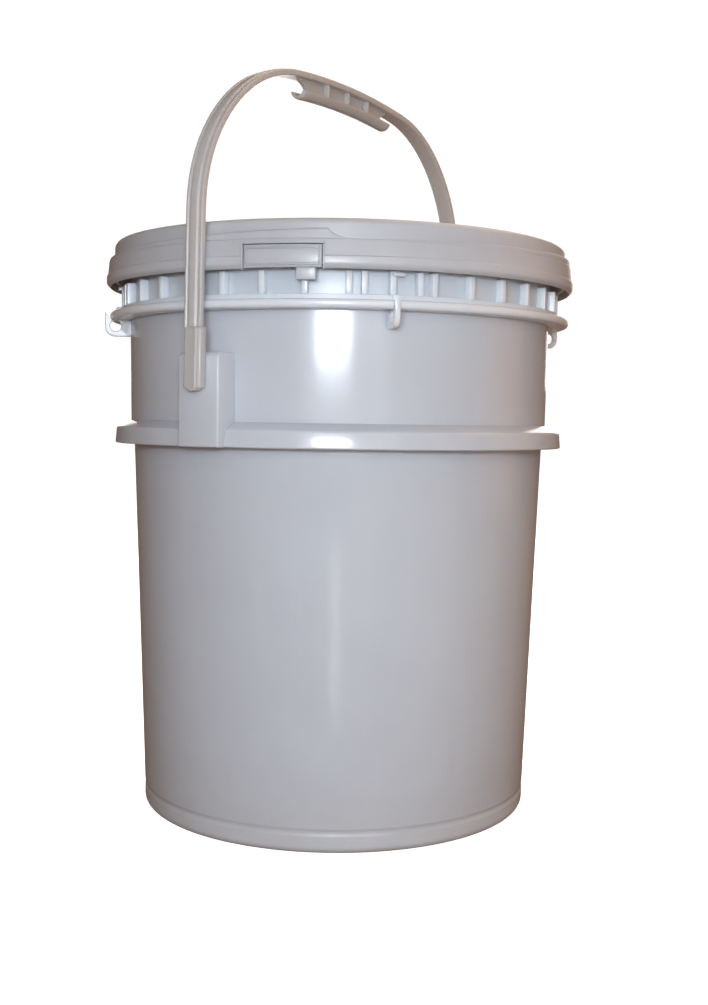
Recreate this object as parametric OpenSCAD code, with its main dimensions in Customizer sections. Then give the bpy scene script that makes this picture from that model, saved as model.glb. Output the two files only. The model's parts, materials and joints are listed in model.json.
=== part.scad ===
// Plastic fermenting bucket: a moulded pail with a stacking flange and a ribbed
// neck, a quarter-turn screw lid with a seal, a rocking press tab and an airlock
// grommet, and a moulded bail handle that swings on two pegs.
// Millimetres, +Z up, origin at the centre of the face the bucket rests on.
// Angles go round from the front handle boss (-Y) towards +X.

/* [Bucket] */
// Radius of the side wall just above the heel
base_r = 133.4; // [110:0.1:160]
// Growth of the radius from the heel to the stacking flange
taper = 8; // [2:0.1:20]
// Thickness of the side wall
wall_t = 2.4; // [1.6:0.1:4]
// Thickness of the floor
floor_t = 2.8; // [2:0.1:5]
// Height of the floor's underside above the rest face
floor_lift = 3; // [1:0.1:8]
// Rounding radius of the heel
heel_r = 8; // [4:0.5:12]
// Width of the ring that the bucket stands on
foot_w = 6; // [3:0.5:12]
// Height of the groove round the heel
groove_z = 14; // [10:0.5:24]
// Depth of the groove round the heel
groove_d = 0.6; // [0.2:0.1:1]

/* [Stacking flange] */
// Height of the flange's lower edge
flange_z = 249; // [200:1:300]
// Height of the flange's upright face
flange_face_h = 10; // [6:0.5:20]
// Rise from the upright face to the side wall
flange_slope_h = 5; // [3:0.5:10]
// How far the flange stands out from the wall below it
flange_out = 13; // [8:0.5:20]
// Thickness of the flange
flange_t = 2.4; // [1.6:0.1:4]
// Number of stiffening gussets inside the flange
gusset_count = 24; // [8:1:48]
// Thickness of one gusset
gusset_t = 1.6; // [1:0.1:3]

/* [Neck] */
// Step out of the wall at the flange
upper_step = 2.2; // [1:0.1:5]
// Growth of the radius from the flange to the neck ring
upper_taper = 0.9; // [0:0.1:3]
// Height of the neck ring's underside above the flange's top
upper_h = 67.2; // [50:0.1:90]
// Thickness of the neck ring
ring_t = 5.2; // [3:0.1:8]
// How far the neck ring stands out
ring_out = 13.4; // [10:0.1:20]
// Height of the neck above the neck ring
neck_h = 39.6; // [36:0.1:50]
// Height of the bead at the rim
rim_bead_h = 3; // [2:0.1:5]
// How far the bead at the rim stands out
rim_bead_out = 1.2; // [0.5:0.1:2]
// Height of the narrow step on top of the neck ring
step_h = 3.2; // [2:0.1:5]
// How far that step stands out past the ribs
step_out = 0.6; // [0.3:0.1:2]
// Number of upright ribs round the neck
rib_count = 36; // [12:4:48]
// Thickness of one rib
rib_t = 3.6; // [1.5:0.1:5]
// How far the ribs stand out from the neck
rib_out = 5.9; // [3:0.1:7]
// Height of the ribs above the neck ring
rib_h = 17; // [10:0.1:18]
// Angle between a tie eye and the extra rib on each side of it
extra_rib_angle = 6.5; // [5:0.1:8]

/* [Tie eyes] */
// Angle from the front handle boss to the first tie eye
eye_angle = 43.7; // [30:0.1:60]
// Thickness of a tie eye
eye_t = 3.4; // [2:0.1:6]
// How far a tie eye stands out from the wall
eye_out = 16.9; // [14:0.1:22]
// Depth of a tie eye below the neck ring
eye_drop = 11; // [10:0.1:20]
// Rounding radius of the eye's lower outer corner
eye_corner_r = 6.5; // [3:0.1:9]
// Radius of the hole through a tie eye
eye_hole_r = 3.7; // [2:0.1:4]
// Distance from the eye's outer edge to the middle of its hole
eye_hole_in = 6.9; // [5:0.1:9]
// Distance from the eye's lower edge to the middle of its hole
eye_hole_up = 7.1; // [5:0.1:9]
// Height of a tie eye above the neck ring
eye_rise = 4.4; // [2:0.1:8]
// Height of the small stop beside an eye, on top of the neck ring
stop_h = 3.2; // [1:0.1:4]

/* [Handle bosses] */
// Width of a handle boss
boss_w = 30; // [22:0.5:50]
// How far the face of a boss stands out from the neck
boss_out = 15.1; // [12:0.1:20]
// Height of a boss above the flange's lower edge
boss_h = 56.5; // [40:0.5:80]
// Chamfer round the face of a boss
boss_chamfer = 2.5; // [1:0.1:5]
// Radius of a handle peg
peg_r = 5; // [3:0.1:7]
// How far a peg reaches into its boss
peg_reach = 10; // [6:0.1:12]
// Height of the pegs above the flange's lower edge
peg_up = 39.5; // [20:0.5:50]

/* [Screw lid] */
// Height of the lid's lower edge above the top of the neck ring
lid_gap = 16.8; // [16:0.1:24]
// How far the skirt stands out from the crown
skirt_out = 5.5; // [4:0.1:8]
// Thickness of the skirt
skirt_t = 2.2; // [1.5:0.1:3]
// Height of the lower band of the skirt
band_h = 7.5; // [5:0.1:9]
// Height of the skirt up to the foot of the shoulder ramps
skirt_h = 17.4; // [14:0.1:24]
// How much the skirt leans in from its band to its shoulder
skirt_lean = 1.7; // [0.5:0.1:3]
// Thickness of the lid
lid_t = 2.6; // [1.8:0.1:3.5]
// Rounding radius of the crown's upper edge
crown_round = 4; // [2:0.5:6]
// Depth of the lid's middle panel below the rim
panel_drop = 8; // [4:0.1:12]
// Number of shoulder ramps round the lid
ramp_count = 4; // [2:1:8]
// Rise of one shoulder ramp
ramp_rise = 6.1; // [2:0.1:7]
// Angle from the front handle boss to a ramp's step
ramp_angle = 30.9; // [0:0.1:90]
// Number of thread starts
thread_starts = 4; // [2:1:6]
// Rise of the thread in one turn
thread_lead = 24; // [16:1:24]
// Height of one thread ridge
thread_h = 1.6; // [1:0.1:2]
// How far the thread ridges stand out from the neck
thread_out = 5; // [3:0.1:6]
// Angle that one lug inside the lid covers
lug_angle = 12; // [8:1:16]

/* [Press tab] */
// Angle from the front handle boss to the middle of the tab
tab_angle = 19.5; // [12:0.1:24]
// Width of the window for the tab
tab_window_w = 48; // [36:0.5:60]
// Height of the tab's panel
tab_h = 13; // [8:0.1:13]
// Thickness of the tab
tab_t = 3; // [2.6:0.1:3.5]
// Height from the skirt's lower edge to the tab's underside
tab_up = 0.6; // [0.4:0.1:2]
// Radius of the two pins that the tab rocks on
tab_pin_r = 0.7; // [0.5:0.1:0.8]
// Length of each of the two pins
tab_pin_l = 2; // [1.5:0.1:2.5]
// Width of the tongue below the tab
tongue_w = 11.5; // [6:0.5:20]
// Depth of the tongue below the skirt's lower edge
tongue_drop = 6.2; // [4:0.1:8]
// Shift of the tongue from the middle of the tab
tongue_shift = 13.5; // [0:0.5:15]

/* [Lid seal] */
// Thickness of the lid seal
seal_h = 3.9; // [2:0.1:6]
// Width of the lid seal
seal_w = 6; // [4:0.1:6.5]

/* [Airlock grommet] */
// Distance from the bucket's axis to the grommet
grommet_place = 92; // [40:1:110]
// Angle from the front handle boss to the grommet
grommet_angle = 100; // [60:5:120]
// Radius of the grommet's bore
grommet_bore_r = 4.6; // [3:0.1:8]
// Wall thickness of the grommet's neck
grommet_wall = 1.8; // [1.2:0.1:3]
// How far the grommet's two lips stand out from its neck
grommet_lip = 3.2; // [2:0.1:5]
// Thickness of each lip
grommet_lip_t = 1.9; // [1.2:0.1:3]

/* [Handle] */
// Width of the strap
strap_w = 12.4; // [8:0.1:24]
// Thickness of the strap
strap_t = 3.2; // [2:0.1:5]
// Height of the strap's middle rib
strap_rib_h = 1; // [0.5:0.1:2]
// Width of the strap's middle rib
strap_rib_w = 4.4; // [2:0.1:6]
// Height of the beads along the strap's edges
strap_bead_h = 0.6; // [0.2:0.1:1.5]
// Height of the straight legs above the lid's shoulder
leg_up = 18; // [5:0.1:30]
// Length of a leg's thick end above the peg
leg_end_h = 32; // [20:0.5:36]
// Bending radius of the strap above its legs
side_bend_r = 91; // [80:1:140]
// Angle of the bend above the legs
side_bend_angle = 32; // [15:1:45]
// Bending radius of the strap's shoulders
shoulder_bend_r = 110; // [80:1:120]
// Angle from the horizontal at which the shoulders end
shoulder_angle = 84; // [70:1:86]
// Lean of the raised handle
handle_lean = 1.1; // [-3:0.1:3]

/* [Grip] */
// Length of the grip
grip_l = 114; // [80:1:120]
// How far the grip sits forward of the middle of the arch
grip_shift = 6; // [0:0.5:10]
// Height of the grip over the strap and the trough
grip_h = 17; // [12:0.5:24]
// Thickness of the grip's upright wall
grip_wall_t = 2.6; // [2:0.1:5]
// Depth of the rounded trough under the grip
trough_h = 5; // [3:0.1:7]
// Thickness of the trough
trough_t = 2; // [1.5:0.1:3]
// Number of cross webs on each side of the grip
web_count = 3; // [1:1:7]
// Distance between two cross webs
web_pitch = 26; // [12:1:30]
// Thickness of one cross web
web_t = 2.2; // [1.5:0.1:4]

/* [Clearances] */
// Gap between two pieces that move past each other
gap = 0.5; // [0.3:0.05:1]
// Radial clearance of a pin in its hole
pin_gap = 0.08; // [0.02:0.01:0.1]
// Gap along the thread between a ridge and a lug
thread_gap = 0.8; // [0.6:0.1:1.2]
// Gap between the thread ridges and the lid's sleeve
sleeve_gap = 2.7; // [1:0.1:4]
// Gap between the lid seal and the faces above and below it
seal_gap = 0.3; // [0.3:0.05:0.5]
// Gap between the press tab and the handle's legs
strap_gap = 1.9; // [1:0.1:4]

/* [Hidden] */

$fn = 180;
hdpe = "#c9cdd6";
hdpe_light = "#dfe5ec";
rubber = "#5c5f66";
arc_step = 15;
crown_step = 22.5;
small_fn = 48;
ramp_segments = 24;
ramp_split = 0.5;
thread_step = 8;
trough_segments = 8;
overlap = 1;
edge = 0.6;

// Heights and radii that follow from the driving dimensions.
flange_top_z = flange_z + flange_face_h + flange_slope_h;
ring_z = flange_top_z + upper_h;
ring_top_z = ring_z + ring_t;
rib_z = ring_top_z + step_h;
rim_z = ring_top_z + neck_h;
low_r = base_r + taper;
upper_r = low_r + upper_step;
neck_r = upper_r + upper_taper;
ring_r = neck_r + ring_out;
step_r = neck_r + rib_out + step_out;
rest_r = base_r - heel_r;
floor_z = floor_lift + floor_t;
peg_z = flange_z + peg_up;

lid_z = ring_top_z + lid_gap;
shoulder_z = lid_z + skirt_h;
seal_z = rim_z + seal_gap;
roof_z = seal_z + seal_h + seal_gap;
crown_z = roof_z + lid_t;
panel_z = crown_z - panel_drop;
sleeve_in_r = neck_r + thread_out + sleeve_gap;
sleeve_z = lid_z + 3.8;
crown_r = sleeve_in_r + lid_t;
skirt_r = crown_r + skirt_out;
shoulder_r = skirt_r - skirt_lean;
ramp_span = 360 / ramp_count - ramp_split;
ramp_in_r = crown_r / cos(ramp_span / ramp_segments / 2);
seal_r = neck_r - wall_t / 2;
crown_in_r = seal_r - seal_w / 2 - 2 * gap;
thread_z = lid_z + 9;
thread_turn = 360 / thread_starts - 2;
lug_h = 1.8;
lug_bite = 2.2;
lug_start = 2;
lug_reach = sleeve_gap + lug_bite;

tab_z = lid_z + tab_up;
tab_mid_z = tab_z + tab_h / 2;
tab_out_r = skirt_r + gap;
tab_pin_place = sqrt(pow(skirt_r - skirt_t / 2 - tab_pin_r, 2) - pow(tab_window_w / 2 + 1, 2));
tab_rail = 1.6;
tab_recess = 0.6;
tongue_out_r = tab_out_r - tab_t;
tongue_t = 2;

boss_face = neck_r + boss_out;
leg_inner_r = boss_face + gap;
strap_r = tab_out_r + strap_gap + strap_t / 2;
arch_z = shoulder_z + leg_up;
leg_h = arch_z - peg_z;
arch_mid_r = strap_r - side_bend_r + (side_bend_r - shoulder_bend_r) * cos(side_bend_angle);
shoulder_mid_z = arch_z + (side_bend_r - shoulder_bend_r) * sin(side_bend_angle);
crown_bend_r = shoulder_bend_r + arch_mid_r / cos(shoulder_angle);
crown_mid_z = shoulder_mid_z - (crown_bend_r - shoulder_bend_r) * sin(shoulder_angle);
grip_angle = asin(grip_l / 2 / crown_bend_r);
grip_turn = asin(grip_shift / crown_bend_r);
grip_low = strap_t / 2 + strap_bead_h - grip_h;
trough_r = (pow(strap_w / 2, 2) + trough_h * trough_h) / (2 * trough_h);
trough_half = asin(strap_w / 2 / trough_r);
trough_turn = trough_half * 2 / trough_segments;

// Outer radius of the side wall at height z.
function wall_r(z) =
    z < flange_z ? base_r + taper * (z - groove_z) / (flange_z - groove_z)
    : z < flange_top_z ? low_r + upper_step * (z - flange_z) / (flange_top_z - flange_z)
    : z < ring_z ? upper_r + upper_taper * (z - flange_top_z) / upper_h
    : neck_r;

// Points on an arc, from angle a to angle b.
function arc(cx, cy, r, a, b, step) =
    [for (i = [0 : ceil(abs(b - a) / step)])
        let (t = a + (b - a) * i / ceil(abs(b - a) / step))
        [cx + r * cos(t), cy + r * sin(t)]];

// Turns a piece drawn at the front (-Y) round to angle a.
module at_angle(a) {
    rotate([0, 0, a]) children();
}

// Places a piece drawn along +Y with its root at the bucket's axis, facing the front.
module front_to(a) {
    rotate([0, 0, a - 90]) children();
}

// ---- Bucket ----

module bucket_shell() {
    outer = concat(
        [[0, floor_lift], [rest_r - foot_w, floor_lift], [rest_r - foot_w, 0]],
        arc(rest_r, heel_r, heel_r, -90, 0, arc_step),
        [
            [base_r, groove_z - 1.5], [base_r - groove_d, groove_z - 0.6],
            [base_r - groove_d, groove_z + 0.6], [wall_r(groove_z + 1.5), groove_z + 1.5],
            [low_r, flange_z], [upper_r, flange_top_z], [neck_r, ring_z],
            [neck_r, rim_z - rim_bead_h], [neck_r + rim_bead_out, rim_z - rim_bead_h + 1],
            [neck_r + rim_bead_out, rim_z - 0.8], [neck_r + rim_bead_out - 0.8, rim_z]
        ]);
    inner = concat(
        [
            [neck_r - wall_t + 0.6, rim_z], [neck_r - wall_t, rim_z - 0.6],
            [neck_r - wall_t, ring_z], [upper_r - wall_t, flange_top_z],
            [low_r - wall_t, flange_z], [base_r - wall_t, groove_z]
        ],
        arc(rest_r, floor_z + heel_r - wall_t, heel_r - wall_t, 0, -90, arc_step),
        [[0, floor_z]]);
    color(hdpe) rotate_extrude() polygon(concat(outer, inner));
}

module stacking_flange() {
    out_r = low_r + flange_out;
    face_z = flange_z + flange_face_h;
    color(hdpe) difference() {
        rotate_extrude() polygon([
            [upper_r, flange_top_z], [upper_r + 1.2, flange_top_z], [out_r - 2.4, face_z + 1.2],
            [out_r - 0.7, face_z], [out_r, face_z - 1.6], [out_r, flange_z + 0.8],
            [out_r - 0.8, flange_z], [out_r - flange_t, flange_z], [out_r - flange_t, face_z - 1.8],
            [wall_r(flange_top_z - flange_t), flange_top_z - flange_t]
        ]);
        for (a = [0, 180]) at_angle(a) boss_block();
    }
}

module flange_gussets() {
    out_r = low_r + flange_out - flange_t;
    low_z = flange_z + 3;
    top_z = flange_z + flange_face_h - 1.8;
    color(hdpe) for (i = [0 : gusset_count - 1])
        front_to((i + 0.5) * 360 / gusset_count)
            rotate([90, 0, 0])
                translate([0, 0, -gusset_t / 2])
                    linear_extrude(gusset_t) polygon([
                        [wall_r(low_z), low_z], [out_r, low_z], [out_r, top_z],
                        [wall_r(top_z) + 1, top_z], [wall_r(top_z - 2), top_z - 2]
                    ]);
}

module neck_ring() {
    color(hdpe) rotate_extrude() polygon([
        [neck_r, ring_z], [ring_r - 2, ring_z], [ring_r - 0.4, ring_z + 1],
        [ring_r, ring_z + ring_t * 0.5], [ring_r - 0.6, ring_top_z - 1],
        [ring_r - 2.2, ring_top_z], [step_r, ring_top_z], [step_r, rib_z], [neck_r, rib_z]
    ]);
}

// An upright rib at angle a, with its foot on the step of the neck ring.
module neck_rib(a) {
    span = rib_t / (neck_r + rib_out) * 180 / PI;
    translate([0, 0, rib_z])
        rotate_extrude(angle = span, start = a - 90 - span / 2)
            translate([neck_r, 0]) square([rib_out, rib_h - step_h]);
}

module neck_ribs() {
    color(hdpe_light) {
        for (i = [0 : rib_count - 1]) neck_rib(eye_angle + i * 360 / rib_count);
        for (i = [0 : 3], side = [-1, 1]) neck_rib(eye_angle + i * 90 + side * extra_rib_angle);
    }
}

// Four ridges that climb the neck in short steps, one behind the other.
module neck_thread() {
    steps = ceil(thread_turn / thread_step);
    step_a = thread_turn / steps;
    color(hdpe) for (s = [0 : thread_starts - 1], i = [0 : steps - 1])
        translate([0, 0, thread_z + thread_lead * i * step_a / 360])
            rotate_extrude(angle = step_a, start = s * 360 / thread_starts + i * step_a)
                polygon([
                    [neck_r, 0], [neck_r + thread_out, 0],
                    [neck_r + thread_out, thread_h], [neck_r, thread_h]
                ]);
}

// A low block on the neck ring and a lug under the lid, beside each tie eye.
module neck_stops() {
    block_a = 2.7;
    rib_face = neck_r + rib_out;
    color(hdpe_light) for (i = [0 : 3]) {
        start = eye_angle + i * 90 - 90;
        translate([0, 0, ring_top_z])
            rotate_extrude(angle = block_a, start = start - 0.3)
                translate([step_r, 0]) square([3, stop_h]);
        translate([0, 0, lid_z - 2.6])
            rotate_extrude(angle = block_a, start = start - 0.3)
                translate([rib_face, 0]) square([2.2, 1.9]);
    }
}

// The block of a handle boss at the front, reaching inwards past the wall.
module boss_block() {
    top_z = flange_z + boss_h;
    root_r = low_r - boss_w / 2;
    mirror([0, 1, 0]) rotate([90, 0, 90])
        translate([0, 0, -boss_w / 2])
            linear_extrude(boss_w) polygon([
                [root_r, flange_z], [boss_face, flange_z], [boss_face, top_z - boss_chamfer],
                [boss_face - boss_chamfer, top_z], [root_r, top_z]
            ]);
}

module handle_boss(a) {
    color(hdpe) at_angle(a) difference() {
        boss_block();
        rotate_extrude() polygon([
            [0, flange_z - overlap], [wall_r(flange_z - overlap), flange_z - overlap],
            [low_r, flange_z], [upper_r, flange_top_z], [neck_r, ring_z],
            [neck_r, ring_top_z], [0, ring_top_z]
        ]);
        translate([0, -boss_face - overlap, peg_z])
            rotate([-90, 0, 0])
                cylinder(r = peg_r + pin_gap, h = peg_reach + gap + overlap);
    }
}

module handle_boss_front() {
    handle_boss(0);
}

module handle_boss_back() {
    handle_boss(180);
}

// Upright plate with a round hole, from the wall to beyond the neck ring.
module tie_eye(i) {
    out_r = neck_r + eye_out;
    low_z = ring_z - eye_drop;
    high_z = ring_top_z + eye_rise;
    root_r = neck_r - 8;
    color(hdpe_light) difference() {
        front_to(eye_angle + i * 90) difference() {
            rotate([90, 0, 0]) translate([0, 0, -eye_t / 2]) linear_extrude(eye_t)
                polygon(concat(
                    [[root_r, low_z]],
                    arc(out_r - eye_corner_r, low_z + eye_corner_r, eye_corner_r, -90, 0, arc_step),
                    [[out_r, high_z], [ring_r + 0.2, high_z], [ring_r + 0.2, ring_z],
                    [root_r, ring_z]]));
            translate([out_r - eye_hole_in, 0, low_z + eye_hole_up])
                rotate([90, 0, 0])
                    cylinder(r = eye_hole_r, h = eye_t + 2 * overlap, center = true);
        }
        rotate_extrude() polygon([
            [0, flange_top_z], [upper_r, flange_top_z], [neck_r, ring_z],
            [ring_r, ring_z], [ring_r, ring_top_z], [0, ring_top_z]
        ]);
    }
}

module tie_eye_front_right() {
    tie_eye(0);
}

module tie_eye_back_right() {
    tie_eye(1);
}

module tie_eye_back_left() {
    tie_eye(2);
}

module tie_eye_front_left() {
    tie_eye(3);
}

// ---- Lid ----

module lid_cap() {
    in_r = crown_in_r;
    low_z = panel_z - lid_t;
    color(hdpe) difference() {
        rotate_extrude() polygon(concat(
            [[0, low_z], [in_r - lid_t - 2 * edge, low_z], [in_r - lid_t, low_z + 2 * edge]],
            [
                [in_r, roof_z], [sleeve_in_r, roof_z], [sleeve_in_r, sleeve_z],
                [crown_r, sleeve_z]
            ],
            arc(crown_r - crown_round, crown_z - crown_round, crown_round, 0, 90, crown_step),
            [[in_r + 2, crown_z], [in_r, crown_z - 1.6], [in_r - 1.6, panel_z], [0, panel_z]]));
        at_angle(grommet_angle) translate([0, -grommet_place, panel_z - lid_t - overlap])
            cylinder(r = grommet_bore_r + grommet_wall, h = lid_t + 2 * overlap, $fn = small_fn);
    }
}

module lid_skirt() {
    low_round = skirt_t - 0.4;
    bead = 0.4;
    pin_hole_l = tab_window_w + 2 * (tab_pin_l - gap) + edge;
    band_z = lid_z + band_h;
    color(hdpe) difference() {
        rotate_extrude() polygon(concat(
            [[skirt_r - skirt_t, lid_z + 0.4]],
            arc(skirt_r - low_round, lid_z + low_round, low_round, -90, 0, arc_step),
            [
                [skirt_r, band_z - 0.5], [skirt_r - bead, band_z + 0.3],
                [skirt_r - bead - 0.3, band_z + 0.9], [shoulder_r, shoulder_z - 0.6],
                [shoulder_r - 0.6, shoulder_z], [crown_r, shoulder_z],
                [crown_r, shoulder_z - skirt_t], [shoulder_r - skirt_t, shoulder_z - skirt_t]
            ]));
        at_angle(tab_angle) tab_window();
        at_angle(tab_angle) translate([0, -tab_pin_place, tab_mid_z])
            rotate([0, 90, 0])
                cylinder(r = tab_pin_r + pin_gap, h = pin_hole_l, center = true, $fn = small_fn);
    }
}

// The opening in the skirt that the tab sits in, open at the skirt's lower edge.
module tab_window() {
    depth = skirt_r - crown_r * cos(asin(tab_window_w / 2 / crown_r)) + skirt_t;
    translate([-tab_window_w / 2, -skirt_r - overlap, lid_z - overlap])
        cube([tab_window_w, depth + overlap, tab_up + tab_h + gap + overlap]);
}

// Outline of a shoulder ramp in the half plane, for a ramp top at height h.
function ramp_outline(h) = [
    [ramp_in_r, shoulder_z], [shoulder_r - 0.6, shoulder_z],
    [shoulder_r - 0.9, shoulder_z + max(h - 1.2, 0.1)],
    [shoulder_r - 2, shoulder_z + max(h, 0.2)], [ramp_in_r, shoulder_z + max(h, 0.2) + 0.4]
];

module lid_shoulder_ramp(a) {
    rows = [for (i = [0 : ramp_segments])
        let (f = i / ramp_segments, t = a + ramp_span * f - 90, o = ramp_outline(ramp_rise * pow(f, 1.2)))
        [for (p = o) [p[0] * cos(t), p[0] * sin(t), p[1]]]];
    n = len(rows[0]);
    points = [for (row = rows, p = row) p];
    sides = [for (i = [0 : ramp_segments - 1], j = [0 : n - 1])
        [i * n + j, (i + 1) * n + j, (i + 1) * n + (j + 1) % n, i * n + (j + 1) % n]];
    first = [for (j = [0 : n - 1]) j];
    last = [for (j = [n - 1 : -1 : 0]) ramp_segments * n + j];
    polyhedron(points, concat([first], sides, [last]));
}

module lid_shoulder_ramps() {
    color(hdpe) for (i = [0 : ramp_count - 1]) lid_shoulder_ramp(ramp_angle + i * 360 / ramp_count);
}

module lid_thread_lugs() {
    color(hdpe) for (s = [0 : thread_starts - 1])
        translate([0, 0, thread_z - thread_gap - lug_h])
            rotate_extrude(angle = lug_angle, start = s * 360 / thread_starts + lug_start)
                translate([sleeve_in_r - lug_reach, 0]) square([lug_reach, lug_h]);
}

module lid_seal() {
    color(rubber) rotate_extrude()
        translate([seal_r - seal_w / 2, seal_z]) square([seal_w, seal_h]);
}

module airlock_grommet() {
    neck = grommet_bore_r + grommet_wall;
    lip = neck + grommet_lip;
    color(rubber) at_angle(grommet_angle) translate([0, -grommet_place, panel_z - lid_t])
        rotate_extrude($fn = small_fn) polygon([
            [grommet_bore_r, -grommet_lip_t], [lip - 0.8, -grommet_lip_t], [lip, -grommet_lip_t + 0.6],
            [lip, 0], [neck, 0], [neck, lid_t], [lip, lid_t], [lip, lid_t + grommet_lip_t - 0.6],
            [lip - 0.8, lid_t + grommet_lip_t], [grommet_bore_r, lid_t + grommet_lip_t]
        ]);
}

// ---- Press tab ----

// A curved plate between two radii, width w and height h, centred on the tab.
module tab_plate(in_r, out_r, x, w, z, h) {
    intersection() {
        translate([0, 0, z]) difference() {
            cylinder(r = out_r, h = h);
            translate([0, 0, -overlap]) cylinder(r = in_r, h = h + 2 * overlap);
        }
        translate([x - w / 2, -out_r - overlap, z]) cube([w, out_r, h]);
    }
}

module press_tab() {
    w = tab_window_w - 2 * gap;
    face_r = tab_out_r - tab_recess;
    color(hdpe) at_angle(tab_angle) {
        tab_plate(tab_out_r - tab_t, face_r, 0, w, tab_z, tab_h);
        tab_plate(face_r, tab_out_r, 0, w - 2 * tab_rail, tab_z + tab_rail, tab_h - 2 * tab_rail);
    }
}

module press_tab_tongue() {
    h = tab_up + tongue_drop + 3;
    color(hdpe) at_angle(tab_angle)
        tab_plate(tongue_out_r - tongue_t, tongue_out_r, tongue_shift, tongue_w, lid_z - tongue_drop, h);
}

module press_tab_pins() {
    color(hdpe) at_angle(tab_angle) for (side = [-1, 1])
        translate([side * (tab_window_w / 2 - gap + tab_pin_l / 2), -tab_pin_place, tab_mid_z])
            rotate([0, 90, 0]) cylinder(r = tab_pin_r, h = tab_pin_l, center = true, $fn = small_fn);
}

// ---- Handle ----

// Section of the strap: x outwards, y across its width.
module strap_section() {
    t = strap_t / 2;
    w = strap_w / 2;
    rib = strap_rib_w / 2;
    bead_w = 1.7;
    polygon([
        [-t, -w], [t + strap_bead_h, -w], [t + strap_bead_h, -w + bead_w - 0.4], [t, -w + bead_w],
        [t, -rib - 0.5], [t + strap_rib_h, -rib], [t + strap_rib_h, rib], [t, rib + 0.5],
        [t, w - bead_w], [t + strap_bead_h, w - bead_w + 0.4], [t + strap_bead_h, w], [-t, w]
    ]);
}

// Leans the handle about its pegs.
module leaned() {
    translate([0, 0, peg_z]) rotate([0, handle_lean, 0]) translate([0, 0, -peg_z]) children();
}

// A bend of the strap in the plane of +Y and +Z; angle 0 points along +Y.
module strap_bend(y, z, r, a, b) {
    translate([0, y, z]) rotate([90, 0, 90])
        rotate_extrude(angle = b - a, start = a)
            translate([r, 0]) strap_section();
}

// The middle of the strap, bent gently over the grip.
module handle_crown() {
    color(hdpe) leaned()
        strap_bend(0, crown_mid_z, crown_bend_r, shoulder_angle, 180 - shoulder_angle);
}

// The tight bend on each side of the crown.
module handle_shoulder(side) {
    color(hdpe) leaned() rotate([0, 0, side]) mirror([0, 1, 0])
        strap_bend(arch_mid_r, shoulder_mid_z, shoulder_bend_r, side_bend_angle, shoulder_angle);
}

module handle_shoulder_front() {
    handle_shoulder(0);
}

module handle_shoulder_back() {
    handle_shoulder(180);
}

// The wide bend at the top of each leg.
module handle_bend(side) {
    color(hdpe) leaned() rotate([0, 0, side]) mirror([0, 1, 0])
        strap_bend(strap_r - side_bend_r, arch_z, side_bend_r, 0, side_bend_angle);
}

module handle_bend_front() {
    handle_bend(0);
}

module handle_bend_back() {
    handle_bend(180);
}

// A straight leg with a thick round end that carries the peg.
module handle_leg(side) {
    w = strap_w / 2;
    thick = strap_r + strap_t / 2 + strap_rib_h - leg_inner_r;
    color(hdpe) leaned() rotate([0, 0, side]) {
        translate([0, -strap_r, peg_z + leg_end_h]) rotate([0, 0, -90])
            linear_extrude(leg_h - leg_end_h) strap_section();
        translate([-w, -leg_inner_r - thick, peg_z]) cube([strap_w, thick, leg_end_h]);
        translate([0, -leg_inner_r, peg_z]) rotate([90, 0, 0]) cylinder(r = w, h = thick, $fn = small_fn);
    }
}

module handle_leg_front() {
    handle_leg(0);
}

module handle_leg_back() {
    handle_leg(180);
}

// An upright wall under the crown and a rounded trough below it.
module handle_grip() {
    wall_low = grip_low + trough_t / 2;
    in_r = trough_r - trough_t;
    color(hdpe) leaned() translate([0, 0, crown_mid_z]) rotate([90, 0, 90])
        rotate_extrude(angle = 2 * grip_angle, start = 90 + grip_turn - grip_angle) translate([crown_bend_r, 0]) {
            translate([wall_low, -grip_wall_t / 2])
                square([-strap_t / 2 - wall_low, grip_wall_t]);
            translate([grip_low + trough_r, 0]) polygon(concat(
                arc(0, 0, trough_r, 180 - trough_half, 180 + trough_half, trough_turn),
                arc(0, 0, in_r, 180 + trough_half, 180 - trough_half, trough_turn)));
        }
}

// Cross webs between the strap and the trough, on both sides of the grip's wall.
module handle_grip_webs() {
    turn = asin(web_pitch / crown_bend_r);
    web_a = asin(web_t / crown_bend_r);
    in_r = (trough_r - trough_t) * cos(trough_turn / 2);
    wall = grip_wall_t / 2;
    near_a = asin(wall / in_r);
    far_a = trough_half * 0.9;
    top = -strap_t / 2 - grip_low - trough_r;
    color(hdpe_light) leaned() translate([0, 0, crown_mid_z]) rotate([90, 0, 90])
        for (i = [0 : web_count - 1], side = [-1, 1])
            rotate_extrude(angle = web_a, start = 90 + grip_turn + (i - (web_count - 1) / 2) * turn - web_a / 2)
                translate([crown_bend_r + grip_low + trough_r, 0]) polygon(concat(
                    [[top, side * wall], [top, side * in_r * sin(far_a)]],
                    arc(0, 0, in_r, 180 - side * far_a, 180 - side * near_a, arc_step)));
}

module handle_peg(side) {
    color(hdpe) leaned() rotate([0, 0, side])
        translate([0, -leg_inner_r, peg_z])
            rotate([-90, 0, 0]) cylinder(r = peg_r, h = peg_reach, $fn = small_fn);
}

module handle_peg_front() {
    handle_peg(0);
}

module handle_peg_back() {
    handle_peg(180);
}

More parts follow.
